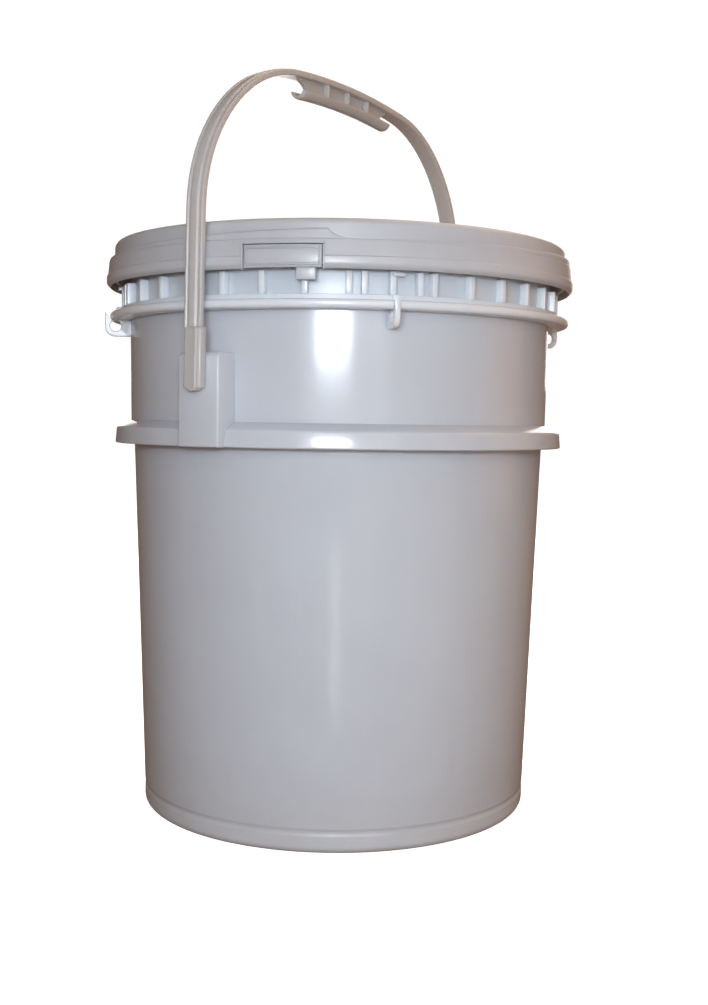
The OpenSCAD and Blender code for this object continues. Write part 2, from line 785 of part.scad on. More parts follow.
bucket_shell();
stacking_flange();
flange_gussets();
neck_ring();
neck_ribs();
neck_thread();
neck_stops();
handle_boss_front();
handle_boss_back();
tie_eye_front_right();
tie_eye_back_right();
tie_eye_back_left();
tie_eye_front_left();
lid_cap();
lid_skirt();
lid_shoulder_ramps();
lid_thread_lugs();
lid_seal();
airlock_grommet();
press_tab();
press_tab_tongue();
press_tab_pins();
handle_crown();
handle_shoulder_front();
handle_shoulder_back();
handle_bend_front();
handle_bend_back();
handle_leg_front();
handle_leg_back();
handle_grip();
handle_grip_webs();
handle_peg_front();
handle_peg_back();
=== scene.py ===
"""Looks of a plastic fermenting bucket with a screw lid and a bail handle.

Sizes in the classes below are in millimetres and are turned into metres when a point is
placed.
"""

import json
import logging
import math
from dataclasses import dataclass
from enum import Enum
from typing import Callable, Iterable, Sequence

import bmesh
import bpy
from mathutils import Matrix, Vector

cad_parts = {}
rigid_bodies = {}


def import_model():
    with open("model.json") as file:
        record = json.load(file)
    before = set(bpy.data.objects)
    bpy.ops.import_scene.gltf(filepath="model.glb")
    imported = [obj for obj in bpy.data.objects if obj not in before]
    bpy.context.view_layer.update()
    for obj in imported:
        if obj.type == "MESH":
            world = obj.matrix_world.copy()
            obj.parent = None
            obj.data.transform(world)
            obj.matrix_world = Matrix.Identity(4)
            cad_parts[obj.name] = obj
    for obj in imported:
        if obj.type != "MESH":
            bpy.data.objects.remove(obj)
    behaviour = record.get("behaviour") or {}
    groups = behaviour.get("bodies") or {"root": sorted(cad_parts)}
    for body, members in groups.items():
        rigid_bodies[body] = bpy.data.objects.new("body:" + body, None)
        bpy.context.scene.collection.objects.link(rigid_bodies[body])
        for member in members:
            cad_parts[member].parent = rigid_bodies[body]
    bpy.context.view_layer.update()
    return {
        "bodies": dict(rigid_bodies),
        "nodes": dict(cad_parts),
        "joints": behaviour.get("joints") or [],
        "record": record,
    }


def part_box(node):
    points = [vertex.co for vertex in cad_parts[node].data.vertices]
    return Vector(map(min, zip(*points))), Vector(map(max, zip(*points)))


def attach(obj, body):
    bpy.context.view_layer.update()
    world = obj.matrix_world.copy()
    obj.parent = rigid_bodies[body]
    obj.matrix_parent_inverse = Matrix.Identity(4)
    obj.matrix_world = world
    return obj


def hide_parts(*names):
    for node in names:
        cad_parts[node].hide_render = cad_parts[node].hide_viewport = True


MM = 0.001
FULL_TURN = 2 * math.pi
AROUND = 192
MOST_OF_SIDE = 0.48
SECTOR_STEP = 1.5
RAMP_STEPS = 44
FALL_STEPS = 14

LOG = logging.getLogger("fermenting_bucket")

Point = tuple[float, float]
Corner = tuple[float, float, float]
Colour = tuple[float, float, float]
Socket = bpy.types.NodeSocket
Feed = Socket | float | tuple[float, ...]


class Slot(Enum):
    """The record's material slots."""

    BUCKET = "bucket_plastic"
    NECK = "neck_plastic"
    LID = "lid_plastic"
    SEAL = "seal_rubber"
    GROMMET = "grommet_rubber"
    HANDLE = "handle_plastic"


class Body(Enum):
    """The bodies that pieces ride on."""

    BUCKET = "bucket"
    LID = "lid"
    TAB = "press_tab"
    HANDLE = "handle"


def heading(angle: float) -> tuple[Vector, Vector]:
    """Directions at an angle that goes round from the front (-Y) towards +X.

    Args:
        angle: the angle in degrees.

    Returns:
        The outward direction and the direction of growing angle.
    """
    a = math.radians(angle)
    return Vector((math.sin(a), -math.cos(a), 0.0)), Vector((math.cos(a), math.sin(a), 0.0))


def place(angle: float, r: float, z: float, side: float = 0.0) -> Vector:
    """A point in metres from its angle, radius, height and sideways shift in millimetres."""
    out, along = heading(angle)
    return (out * r + along * side + Vector((0.0, 0.0, z))) * MM


def lowest(node: str) -> float:
    """The height of a CAD node's lowest point in millimetres."""
    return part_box(node)[0][2] / MM


def highest(node: str) -> float:
    """The height of a CAD node's highest point in millimetres."""
    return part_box(node)[1][2] / MM


def rounded(corners: Sequence[Corner], steps: int = 5) -> list[Point]:
    """A closed profile with its corners rounded.

    Args:
        corners: x, y and rounding radius of each corner.
        steps: how many points a quarter turn of rounding takes.

    Returns:
        The points of the rounded profile.
    """
    points: list[Point] = []
    count = len(corners)
    for i, (x, y, radius) in enumerate(corners):
        here = Vector((x, y))
        if radius <= 0:
            points.append((x, y))
            continue
        before = Vector(corners[i - 1][:2]) - here
        after = Vector(corners[(i + 1) % count][:2]) - here
        half = before.angle(after) / 2
        most = MOST_OF_SIDE * min(before.length, after.length)
        reach = min(radius / math.tan(half), most)
        size = reach * math.tan(half)
        start, end = here + before.normalized() * reach, here + after.normalized() * reach
        inward = (before.normalized() + after.normalized()).normalized()
        middle = here + inward * (size / math.sin(half))
        first, last = start - middle, end - middle
        sweep = first.angle(last)
        pieces = max(2, math.ceil(steps * sweep / (math.pi / 2)))
        turn = math.copysign(sweep, first.x * last.y - first.y * last.x)
        for k in range(pieces + 1):
            t = turn * k / pieces
            c, s = math.cos(t), math.sin(t)
            x, y = first.x * c - first.y * s, first.x * s + first.y * c
            points.append((middle.x + x, middle.y + y))
    return points


# ---- Finishes ----

PLASTIC_IOR = 1.5
GLOW_COLOURS = (1.0, 0.85, 0.72)
GLOW_REACH = 0.012
SCUFF_ROUGHNESS = 0.22
SCUFF_LOSS = -0.8
WAVE_SHARE = 5.0
SOIL_HEIGHT = 0.06
SOIL_COLOUR = (0.42, 0.36, 0.3)


def opaque(colour: Colour) -> tuple[float, ...]:
    """A colour with full opacity."""
    return (*colour, 1.0)


class Recipe:
    """The nodes of one material while it is put together."""

    def __init__(self, name: str) -> None:
        """Starts a node material of that name."""
        self.material = bpy.data.materials.new(name)
        self.material.use_nodes = True
        self.nodes = self.material.node_tree.nodes
        self.link = self.material.node_tree.links.new
        self.shader = self.nodes["Principled BSDF"]
        self.where = self.nodes.new("ShaderNodeTexCoord").outputs["Object"]

    def settings(self, values: dict[str, float | tuple[float, ...]]) -> None:
        """Sets constants directly on the shader's own sockets."""
        for key, value in values.items():
            self.shader.inputs[key].default_value = value

    def feed(self, socket: Socket, value: Feed) -> None:
        """Links a socket, or sets it where a number or a colour is given.

        Args:
            socket: the socket to fill.
            value: what goes in.
        """
        if isinstance(value, Socket):
            self.link(value, socket)
        else:
            socket.default_value = value

    def maths(self, operation: str, *terms: Feed) -> Socket:
        """A sum or product of up to three terms.

        Args:
            operation: the Math node's operation.
            terms: sockets or numbers.

        Returns:
            The result's socket.
        """
        node = self.nodes.new("ShaderNodeMath")
        node.operation = operation
        for socket, term in zip(node.inputs, terms):
            self.feed(socket, term)
        return node.outputs[0]

    def stretched(self, *scale: float) -> Socket:
        """Object coordinates scaled by a Mapping node; returns the socket."""
        mapping = self.nodes.new("ShaderNodeMapping")
        mapping.inputs["Scale"].default_value = scale
        self.link(self.where, mapping.inputs["Vector"])
        return mapping.outputs["Vector"]

    def noise(self, where: Socket, scale: float, detail: float, rough: float) -> Socket:
        """A noise texture.

        Args:
            where: the coordinates.
            scale: the size of its grain.
            detail: how many finer layers it has.
            rough: how strong the finer layers are.

        Returns:
            The noise's socket.
        """
        tex = self.nodes.new("ShaderNodeTexNoise")
        for key, number in (("Scale", scale), ("Detail", detail), ("Roughness", rough)):
            tex.inputs[key].default_value = number
        self.link(where, tex.inputs["Vector"])
        return tex.outputs["Fac"]

    def ramp(
        self, value: Socket, low: float, high: float, start: float = 0.0, end: float = 1.0
    ) -> Socket:
        """A value mapped from one range to another and held inside it.

        Args:
            value: the value.
            low: where the first range starts.
            high: where the first range ends.
            start: what low becomes.
            end: what high becomes.

        Returns:
            The mapped value's socket.
        """
        node = self.nodes.new("ShaderNodeMapRange")
        self.link(value, node.inputs["Value"])
        for key, number in (("From Min", low), ("From Max", high), ("To Min", start), ("To Max", end)):
            node.inputs[key].default_value = number
        return node.outputs["Result"]

    def blended(self, factor: Socket, first: Feed, second: Feed) -> Socket:
        """Two colours mixed by a factor.

        Args:
            factor: how much of the second colour shows.
            first: the first colour.
            second: the second colour.

        Returns:
            The mixed colour's socket.
        """
        node = self.nodes.new("ShaderNodeMix")
        node.data_type = "RGBA"
        for key, value in (("Factor", factor), ("A", first), ("B", second)):
            self.feed(node.inputs[key], value)
        return node.outputs["Result"]

    def surface(self, key: str, value: Socket) -> None:
        """Links a value to one of the shader's sockets."""
        self.link(value, self.shader.inputs[key])

    def bump(self, height: Socket, strength: float, depth: float) -> None:
        """Raises the surface by a height of so many metres.

        Args:
            height: the height map.
            strength: how strongly it shows.
            depth: how deep it is in metres.
        """
        node = self.nodes.new("ShaderNodeBump")
        node.inputs["Strength"].default_value = strength
        node.inputs["Distance"].default_value = depth
        self.link(height, node.inputs["Height"])
        self.surface("Normal", node.outputs["Normal"])


@dataclass(frozen=True)
class Moulded:
    """Satin translucent plastic with faint flow clouds, handling scuffs and moulded grain.

    Attributes:
        name: the material's name.
        colour: the main colour.
        cloud: the colour of the faint flow clouds.
        roughness: the roughness of clean plastic.
        wear: how strongly scuffs show.
        glow: how much light travels inside the plastic.
        grain: the height of the moulded grain in metres.
        soil: how dark the band of handling marks low on the wall is.
    """

    name: str
    colour: Colour
    cloud: Colour
    roughness: float = 0.3
    wear: float = 0.5
    glow: float = 0.35
    grain: float = 0.00006
    soil: float = 0.0

    def build(self) -> bpy.types.Material:
        """Makes the node material and returns it."""
        mix = Recipe(self.name)
        mix.settings({
            "Subsurface Weight": self.glow,
            "Subsurface Radius": GLOW_COLOURS,
            "Subsurface Scale": GLOW_REACH,
            "IOR": PLASTIC_IOR,
        })
        clouds = mix.noise(mix.where, 9.0, 4.0, 0.55)
        streaks = mix.noise(mix.stretched(60.0, 60.0, 5.0), 1.0, 3.0, 0.6)
        scuffs = mix.noise(mix.stretched(220.0, 220.0, 26.0), 1.0, 5.0, 0.7)
        scuff_mask = mix.ramp(scuffs, 0.6, 0.78, 0.0, self.wear)

        paler = tuple(min(1.0, c * 1.04) for c in self.colour)
        colour = mix.blended(mix.ramp(clouds, 0.38, 0.66), opaque(self.colour), opaque(self.cloud))
        colour = mix.blended(mix.ramp(streaks, 0.52, 0.74, 0.0, 0.35), colour, opaque(paler))
        if self.soil > 0:
            colour = self.soiled(mix, colour)
        mix.surface("Base Color", colour)
        rough = mix.maths("MULTIPLY_ADD", scuff_mask, SCUFF_ROUGHNESS, self.roughness)
        mix.surface("Roughness", rough)

        grain = mix.noise(mix.where, 620.0, 3.0, 0.6)
        waves = mix.noise(mix.where, 34.0, 2.0, 0.5)
        height = mix.maths("MULTIPLY_ADD", waves, WAVE_SHARE, grain)
        mix.bump(mix.maths("MULTIPLY_ADD", scuff_mask, SCUFF_LOSS, height), 0.35, self.grain)
        return mix.material

    def soiled(self, mix: Recipe, colour: Socket) -> Socket:
        """Adds the faint warm handling marks near the heel.

        Args:
            mix: the material's nodes.
            colour: the clean colour.

        Returns:
            The marked colour.
        """
        split = mix.nodes.new("ShaderNodeSeparateXYZ")
        mix.link(mix.where, split.inputs[0])
        low = mix.ramp(split.outputs["Z"], 0.0, SOIL_HEIGHT, self.soil, 0.0)
        dust = mix.noise(mix.stretched(40.0, 40.0, 70.0), 1.0, 4.0, 0.65)
        return mix.blended(mix.maths("MULTIPLY", low, dust), colour, opaque(SOIL_COLOUR))


@dataclass(frozen=True)
class Rubber:
    """Matt dark rubber with a fine grain and pale bloom.

    Attributes:
        name: the material's name.
        colour: the main colour.
        bloom: the colour of the bloom.
    """

    name: str
    colour: Colour
    bloom: Colour

    def build(self) -> bpy.types.Material:
        """Makes the node material and returns it."""
        mix = Recipe(self.name)
        patches = mix.noise(mix.where, 60.0, 5.0, 0.6)
        share = mix.ramp(patches, 0.45, 0.75)
        mix.surface("Base Color", mix.blended(share, opaque(self.colour), opaque(self.bloom)))
        mix.surface("Roughness", mix.ramp(patches, 0.3, 0.8, 0.55, 0.8))
        mix.bump(mix.noise(mix.where, 1500.0, 2.0, 0.5), 0.4, 0.00008)
        return mix.material


@dataclass(frozen=True)
class Paper:
    """The matt pale floor.

    Attributes:
        name: the material's name.
        colour: the main colour.
        glow: how brightly it shines by itself, so that it meets the backdrop unseen.
    """

    name: str
    colour: Colour
    glow: float = 0.82

    def build(self) -> bpy.types.Material:
        """Makes the node material and returns it."""
        mix = Recipe(self.name)
        shade = tuple(c * 0.985 for c in self.colour)
        tone = mix.ramp(mix.noise(mix.where, 3.0, 2.0, 0.5), 0.4, 0.7)
        mix.surface("Base Color", mix.blended(tone, opaque(self.colour), opaque(shade)))
        mix.settings({
            "Roughness": 0.9,
            "Emission Color": opaque((1.0, 1.0, 1.0)),
            "Emission Strength": self.glow,
        })
        return mix.material


# ---- Bench: the modelling tools that the sub-assemblies share ----


class Bench:
    """Modelling steps that all the sub-assemblies share."""

    @staticmethod
    def clear() -> None:
        """Deselects everything in object mode."""
        if bpy.context.object and bpy.context.object.mode != "OBJECT":
            bpy.ops.object.mode_set(mode="OBJECT")
        bpy.ops.object.select_all(action="DESELECT")

    @staticmethod
    def only(obj: bpy.types.Object) -> None:
        """Makes one object the only selected and active one."""
        Bench.clear()
        obj.select_set(True)
        bpy.context.view_layer.objects.active = obj

    @staticmethod
    def turn(name: str, profile: Sequence[Point], steps: int = AROUND) -> bpy.types.Object:
        """Turns a closed profile round the vertical axis by extruding and resizing a ring.

        Args:
            name: the new object's name.
            profile: radius and height of each ring in millimetres.
            steps: how many points one ring has.

        Returns:
            The new object.
        """
        Bench.clear()
        r0, z0 = profile[0]
        bpy.ops.mesh.primitive_circle_add(vertices=steps, radius=r0 * MM, location=(0, 0, z0 * MM))
        obj = bpy.context.object
        obj.name = name
        bpy.ops.object.transform_apply(location=True, rotation=True, scale=True)
        bpy.ops.object.mode_set(mode="EDIT")
        bpy.ops.mesh.select_all(action="SELECT")
        r_now, z_now = r0, z0
        for r, z in (*profile[1:], profile[0]):
            rise = (0, 0, (z - z_now) * MM)
            bpy.ops.mesh.extrude_edges_move(TRANSFORM_OT_translate={"value": rise})
            if abs(r - r_now) > 1e-9:
                s = r / r_now
                bpy.ops.transform.resize(value=(s, s, 1.0), center_override=(0, 0, z * MM))
            r_now, z_now = r, z
        Bench.weld()
        bpy.ops.object.mode_set(mode="OBJECT")
        return obj

    @staticmethod
    def loft(name: str, rings: Sequence[Sequence[Vector]], capped: bool = True) -> bpy.types.Object:
        """Extrudes a face from ring to ring.

        Args:
            name: the new object's name.
            rings: the points of each ring in metres, all with the same count.
            capped: whether both ends are closed; otherwise the last ring joins the first.

        Returns:
            The new object.
        """
        Bench.clear()
        count = len(rings[0])
        fill = "NGON" if capped else "NOTHING"
        bpy.ops.mesh.primitive_circle_add(vertices=count, radius=0.01, fill_type=fill)
        obj = bpy.context.object
        obj.name = name
        bpy.ops.object.mode_set(mode="EDIT")
        bpy.ops.mesh.select_all(action="SELECT")
        mesh = bmesh.from_edit_mesh(obj.data)
        mesh.verts.ensure_lookup_table()
        for vert, point in zip(mesh.verts, rings[0]):
            vert.co = point
        bmesh.update_edit_mesh(obj.data)
        for ring in rings[1:]:
            if capped:
                bpy.ops.mesh.extrude_region_move()
            else:
                bpy.ops.mesh.extrude_edges_move()
            mesh = bmesh.from_edit_mesh(obj.data)
            mesh.verts.ensure_lookup_table()
            fresh = mesh.verts[-count:]
            for vert, point in zip(fresh, ring):
                vert.co = point
            bmesh.update_edit_mesh(obj.data)
        Bench.weld()
        bpy.ops.object.mode_set(mode="OBJECT")
        return obj

    @staticmethod
    def weld() -> None:
        """Merges doubles and points all faces outwards, in edit mode."""
        bpy.ops.mesh.select_all(action="SELECT")
        bpy.ops.mesh.remove_doubles(threshold=2e-6)
        bpy.ops.mesh.normals_make_consistent(inside=False)
        bpy.ops.mesh.select_all(action="DESELECT")

    @staticmethod
    def pick_verts(obj: bpy.types.Object, wanted: Callable[[Vector], bool]) -> None:
        """Selects the vertices whose place passes a test, in edit mode.

        Args:
            obj: the object.
            wanted: the test.
        """
        mesh = bmesh.from_edit_mesh(obj.data)
        for vert in mesh.verts:
            vert.select = wanted(vert.co)
        mesh.select_flush(True)
        bmesh.update_edit_mesh(obj.data)

    @staticmethod
    def block(name: str, size: Sequence[float], centre: Sequence[float]) -> bpy.types.Object:
        """A square block, as the start of a piece or the tool of a cut.

        Args:
            name: the new object's name.
            size: the block's size along X, Y and Z in millimetres.
            centre: the block's middle in millimetres.

        Returns:
            The new object.
        """
        Bench.clear()
        bpy.ops.mesh.primitive_cube_add(size=1.0, location=[c * MM for c in centre])
        obj = bpy.context.object
        obj.name = name
        obj.scale = [s * MM for s in size]
        bpy.ops.object.transform_apply(location=True, rotation=True, scale=True)
        return obj

    @staticmethod
    def bevelled(obj: bpy.types.Object, width: float, segments: int, angle: float) -> None:
        """Rounds an object's sharp edges with an applied Bevel modifier.

        Args:
            obj: the object.
            width: the rounding's width in millimetres.
            segments: how many segments the rounding has.
            angle: edges flatter than this stay as they are, in degrees.
        """
        Bench.only(obj)
        mod = obj.modifiers.new("soft_edges", "BEVEL")
        mod.width = width * MM
        mod.segments = segments
        mod.limit_method = "ANGLE"
        mod.angle_limit = math.radians(angle)
        bpy.ops.object.modifier_apply(modifier=mod.name)

    @staticmethod
    def cut(obj: bpy.types.Object, tool: bpy.types.Object) -> None:
        """Takes one object's shape out of another and removes the tool.

        Args:
            obj: the piece to cut.
            tool: the shape to take out.
        """
        Bench.only(obj)
        mod = obj.modifiers.new("opening", "BOOLEAN")
        mod.operation = "DIFFERENCE"
        mod.object = tool
        mod.solver = "EXACT"
        bpy.ops.object.modifier_apply(modifier=mod.name)
        bpy.data.objects.remove(tool)

    @staticmethod
    def bore(
        obj: bpy.types.Object, r: float, depth: float, spot: Vector, tilt: float = 0.0, sides: int = 48
    ) -> None:
        """Bores a round hole.

        Args:
            obj: the piece to bore.
            r: the hole's radius in millimetres.
            depth: the length of the cutter in millimetres.
            spot: the cutter's middle in metres.
            tilt: the cutter's turn about X from upright, in radians.
            sides: how many sides the hole has.
        """
        Bench.clear()
        bpy.ops.mesh.primitive_cylinder_add(
            vertices=sides, radius=r * MM, depth=depth * MM, location=spot, rotation=(tilt, 0, 0)
        )
        tool = bpy.context.object
        bpy.ops.object.transform_apply(location=True, rotation=True, scale=True)
        Bench.cut(obj, tool)

    @staticmethod
    def fill_disc(obj: bpy.types.Object, r: float, top: float, low: float) -> None:
        """Closes a turned floor whose two discs stop short of the axis.

        Args:
            obj: the turned object.
            r: the radius at which the discs stop.
            top: the height of the upper disc.
            low: the height of the lower disc.
        """
        Bench.only(obj)
        bpy.ops.object.mode_set(mode="EDIT")
        bpy.ops.mesh.select_mode(type="FACE")
        mesh = bmesh.from_edit_mesh(obj.data)
        for face in mesh.faces:
            face.select = all(v.co.to_2d().length < (r + 0.01) * MM for v in face.verts)
        bmesh.update_edit_mesh(obj.data)
        bpy.ops.mesh.delete(type="ONLY_FACE")
        bpy.ops.mesh.select_mode(type="VERT")
        for z in (top, low):
            bpy.ops.mesh.select_all(action="DESELECT")
            near = (r + 0.01) * MM
            Bench.pick_verts(obj, lambda v: v.to_2d().length < near and abs(v.z - z * MM) < 1e-5)
            bpy.ops.mesh.edge_face_add()
        Bench.weld()
        bpy.ops.object.mode_set(mode="OBJECT")

    @staticmethod
    def sector(
        name: str, radii: Point, heights: Point, angles: Point, bevel: float
    ) -> bpy.types.Object:
        """A block that follows the bucket's curve.

        Args:
            name: the new object's name.
            radii: the inner and outer radius in millimetres.
            heights: the lower and upper height in millimetres.
            angles: the first and last angle in degrees.
            bevel: the rounding of its edges in millimetres.

        Returns:
            The new object.
        """
        (r0, r1), (z0, z1), (a0, a1) = radii, heights, angles
        steps = max(2, math.ceil((a1 - a0) / SECTOR_STEP))
        rings = []
        for k in range(steps + 1):
            a = a0 + (a1 - a0) * k / steps
            rings.append([place(a, r0, z0), place(a, r1, z0), place(a, r1, z1), place(a, r0, z1)])
        obj = Bench.loft(name, rings)
        Bench.bevelled(obj, bevel, 2, 40)
        return obj

    @staticmethod
    def swing(obj: bpy.types.Object, angle: float) -> None:
        """Turns a piece's mesh about the vertical axis by an angle in degrees."""
        obj.data.transform(Matrix.Rotation(math.radians(angle), 4, "Z"))

    @staticmethod
    def joined(parts: Sequence[bpy.types.Object], name: str) -> bpy.types.Object:
        """Joins pieces into the first of them, names it and returns it.

        Args:
            parts: the pieces.
            name: the joined piece's name.

        Returns:
            The joined piece.
        """
        Bench.clear()
        for part in parts:
            part.select_set(True)
        bpy.context.view_layer.objects.active = parts[0]
        if len(parts) > 1:
            bpy.ops.object.join()
        parts[0].name = name
        return parts[0]

    @staticmethod
    def copies(obj: bpy.types.Object, moves: Iterable[Matrix], name: str) -> bpy.types.Object:
        """Copies a piece to several places and joins the copies into one piece.

        Args:
            obj: the piece as modelled, which is used up.
            moves: where each copy goes.
            name: the joined piece's name.

        Returns:
            The joined piece.
        """
        made = []
        for move in moves:
            twin = obj.copy()
            twin.data = obj.data.copy()
            twin.data.transform(move)
            bpy.context.scene.collection.objects.link(twin)
            made.append(twin)
        bpy.data.objects.remove(obj)
        return Bench.joined(made, name)

    @staticmethod
    def round_about(angles: Iterable[float]) -> list[Matrix]:
        """Turns about the vertical axis, one for each angle in degrees."""
        return [Matrix.Rotation(math.radians(a), 4, "Z") for a in angles]

    @staticmethod
    def smooth(obj: bpy.types.Object, angle: float = 32.0) -> None:
        """Shades an object smooth, apart from edges sharper than an angle in degrees."""
        Bench.only(obj)
        bpy.ops.object.shade_smooth_by_angle(angle=math.radians(angle))


@dataclass
class SubAssembly:
    """What every sub-assembly can do: dress a piece and hand it to the frame.

    Attributes:
        finishes: the materials that pieces are dressed in.
    """

    finishes: dict[Slot, bpy.types.Material]

    def fit(
        self, obj: bpy.types.Object, body: Body, slot: Slot, *nodes: str, angle: float = 32.0
    ) -> bpy.types.Object:
        """Dresses a piece and fixes it to its body.

        Args:
            obj: the finished piece.
            body: the body that it rides on.
            slot: the material slot that it is dressed from.
            nodes: the CAD nodes that it stands for.
            angle: edges sharper than this stay sharp, in degrees.

        Returns:
            The same piece.
        """
        Bench.smooth(obj, angle)
        obj.data.materials.clear()
        obj.data.materials.append(self.finishes[slot])
        for face in obj.data.polygons:
            face.material_index = 0
        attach(obj, body.value)
        if nodes:
            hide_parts(*nodes)
        LOG.info("%s: %d faces on %s", obj.name, len(obj.data.polygons), body.value)
        return obj

    def redress(self, frame: dict, slot: Slot, *nodes: str) -> None:
        """Gives CAD nodes that stay in view the finish of their slot.

        Args:
            frame: the loaded frame.
            slot: the slot.
            nodes: the nodes' names.
        """
        for node in nodes:
            obj = frame["nodes"][node]
            for material_slot in obj.material_slots:
                material_slot.material = self.finishes[slot]
            LOG.info("%s: redressed", node)


# ---- Bucket ----


@dataclass
class Pail(SubAssembly):
    """The bucket moulding: wall, flange, neck, ring, ribs, eyes and bosses. Sizes in millimetres."""

    base_r: float = 133.4
    low_r: float = 141.4
    upper_r: float = 143.6
    neck_r: float = 144.5
    wall_t: float = 2.4
    heel_r: float = 8.0
    foot_w: float = 6.0
    groove_z: float = 14.0
    groove_d: float = 0.6
    floor_low: float = 3.0
    floor_top: float = 5.8
    flange_out: float = 13.0
    flange_t: float = 2.4
    flange_face_h: float = 10.0
    ring_r: float = 157.9
    rib_r: float = 150.4
    rib_t: float = 3.6
    rib_h: float = 17.0
    rib_count: int = 36
    eye_angle: float = 43.7
    extra_angle: float = 6.5
    eye_t: float = 3.4
    eye_r: float = 161.4
    eye_hole_r: float = 3.7
    eye_hole_in: float = 6.9
    eye_hole_up: float = 7.1
    eye_corner: float = 6.5
    eye_drop: float = 11.0
    eye_rise: float = 4.4
    stop_h: float = 3.2
    step_h: float = 3.2
    step_r: float = 151.0
    boss_w: float = 30.0
    boss_chamfer: float = 2.5
    peg_up: float = 39.5
    peg_hole_r: float = 5.08

    def __post_init__(self) -> None:
        """Reads the heights from the frame."""
        self.flange_z = lowest("stacking_flange")
        self.flange_top = highest("stacking_flange")
        self.ring_z = lowest("neck_ring")
        self.rib_z = highest("neck_ring")
        self.ring_top = self.rib_z - self.step_h
        self.rim_z = highest("bucket_shell")
        self.boss_top = highest("handle_boss_front")
        self.boss_face = -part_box("handle_boss_front")[0][1] / MM
        self.lid_z = lowest("lid_skirt")

    def build(self, frame: dict) -> None:
        """Models and fits every piece of the bucket."""
        self.wall()
        self.flange()
        self.ring()
        self.neck_band()
        self.ribs()
        self.stops()
        for i, node in enumerate(("front_right", "back_right", "back_left", "front_left")):
            self.eye(self.eye_angle + 90 * i, "tie_eye_" + node)
        self.boss(0, "handle_boss_front")
        self.boss(180, "handle_boss_back")
        self.redress(frame, Slot.BUCKET, "flange_gussets")
        self.redress(frame, Slot.NECK, "neck_thread")

    def wall(self) -> bpy.types.Object:
        """The tapered wall with its heel, groove, floor and rim."""
        rest_r = self.base_r - self.heel_r
        inner = self.wall_t
        outside = [
            (rest_r - self.foot_w, self.floor_low, 0.5),
            (rest_r - self.foot_w, 0.0, 1.0),
            (self.base_r, 0.0, self.heel_r),
            (self.base_r, self.groove_z - 2.6, 1.2),
            (self.base_r - self.groove_d, self.groove_z - 0.8, 0.5),
            (self.base_r - self.groove_d, self.groove_z + 0.5, 0.5),
            (self.base_r + 0.1, self.groove_z + 2.2, 1.5),
            (self.low_r, self.flange_z, 4.0),
            (self.upper_r, self.flange_top, 3.0),
            (self.neck_r, self.ring_z, 0.0),
            (self.neck_r, self.rim_z - 3.0, 0.0),
            (self.neck_r + 1.2, self.rim_z - 2.0, 0.4),
            (self.neck_r + 1.2, self.rim_z, 0.8),
        ]
        inside = [
            (self.neck_r - inner, self.rim_z, 0.8),
            (self.neck_r - inner, self.ring_z, 3.0),
            (self.upper_r - inner, self.flange_top, 3.0),
            (self.low_r - inner, self.flange_z, 3.0),
            (self.base_r - inner, self.floor_top, self.heel_r - inner),
            (90.0, self.floor_top, 0.0),
            (40.0, self.floor_top, 0.0),
            (40.0, self.floor_low, 0.0),
            (90.0, self.floor_low, 0.0),
        ]
        obj = Bench.turn("bucket_wall", rounded(outside + inside, 8))
        Bench.fill_disc(obj, 40.0, self.floor_top, self.floor_low)
        return self.fit(obj, Body.BUCKET, Slot.BUCKET, "bucket_shell", angle=38)

    def flange(self) -> bpy.types.Object:
        """The stacking flange: a sloping top that turns down into an upright face."""
        out_r = self.low_r + self.flange_out
        face_z = self.flange_z + self.flange_face_h
        profile = [
            (self.upper_r - 1.0, self.flange_top + 0.5, 0.0),
            (self.upper_r + 0.5, self.flange_top, 1.5),
            (out_r - 1.0, face_z + 0.6, 2.2),
            (out_r, self.flange_z, 1.0),
            (out_r - self.flange_t, self.flange_z, 0.8),
            (out_r - self.flange_t, face_z - 2.0, 1.0),
            (self.upper_r - 1.0, self.flange_top - self.flange_t - 0.6, 0.0),
        ]
        obj = Bench.turn("flange_skirt", rounded(profile, 8))
        return self.fit(obj, Body.BUCKET, Slot.BUCKET, "stacking_flange", angle=38)

    def ring(self) -> bpy.types.Object:
        """The neck ring with its rounded edge and the fine step on its top."""
        profile = [
            (self.neck_r - 1.0, self.ring_z, 0.0),
            (self.ring_r, self.ring_z, 2.2),
            (self.ring_r, self.ring_top, 2.2),
            (self.step_r, self.ring_top, 0.3),
            (self.step_r, self.rib_z, 0.35),
            (self.neck_r - 1.0, self.rib_z, 0.0),
        ]
        obj = Bench.turn("neck_ring_edge", rounded(profile, 6))
        return self.fit(obj, Body.BUCKET, Slot.NECK, "neck_ring", angle=38)

    def neck_band(self) -> bpy.types.Object:
        """The thin neck wall between the ring and the rim, pale partly from its thin plastic and partly
        from painted light.
        """
        inner, outer = self.neck_r - 0.8, self.neck_r + 0.35
        low, high = self.rib_z - 0.6, self.rim_z - 3.4
        profile = [(inner, low, 0.0), (outer, low, 0.0), (outer, high, 0.2), (inner, high, 0.0)]
        return self.fit(Bench.turn("neck_band", rounded(profile)), Body.BUCKET, Slot.NECK)

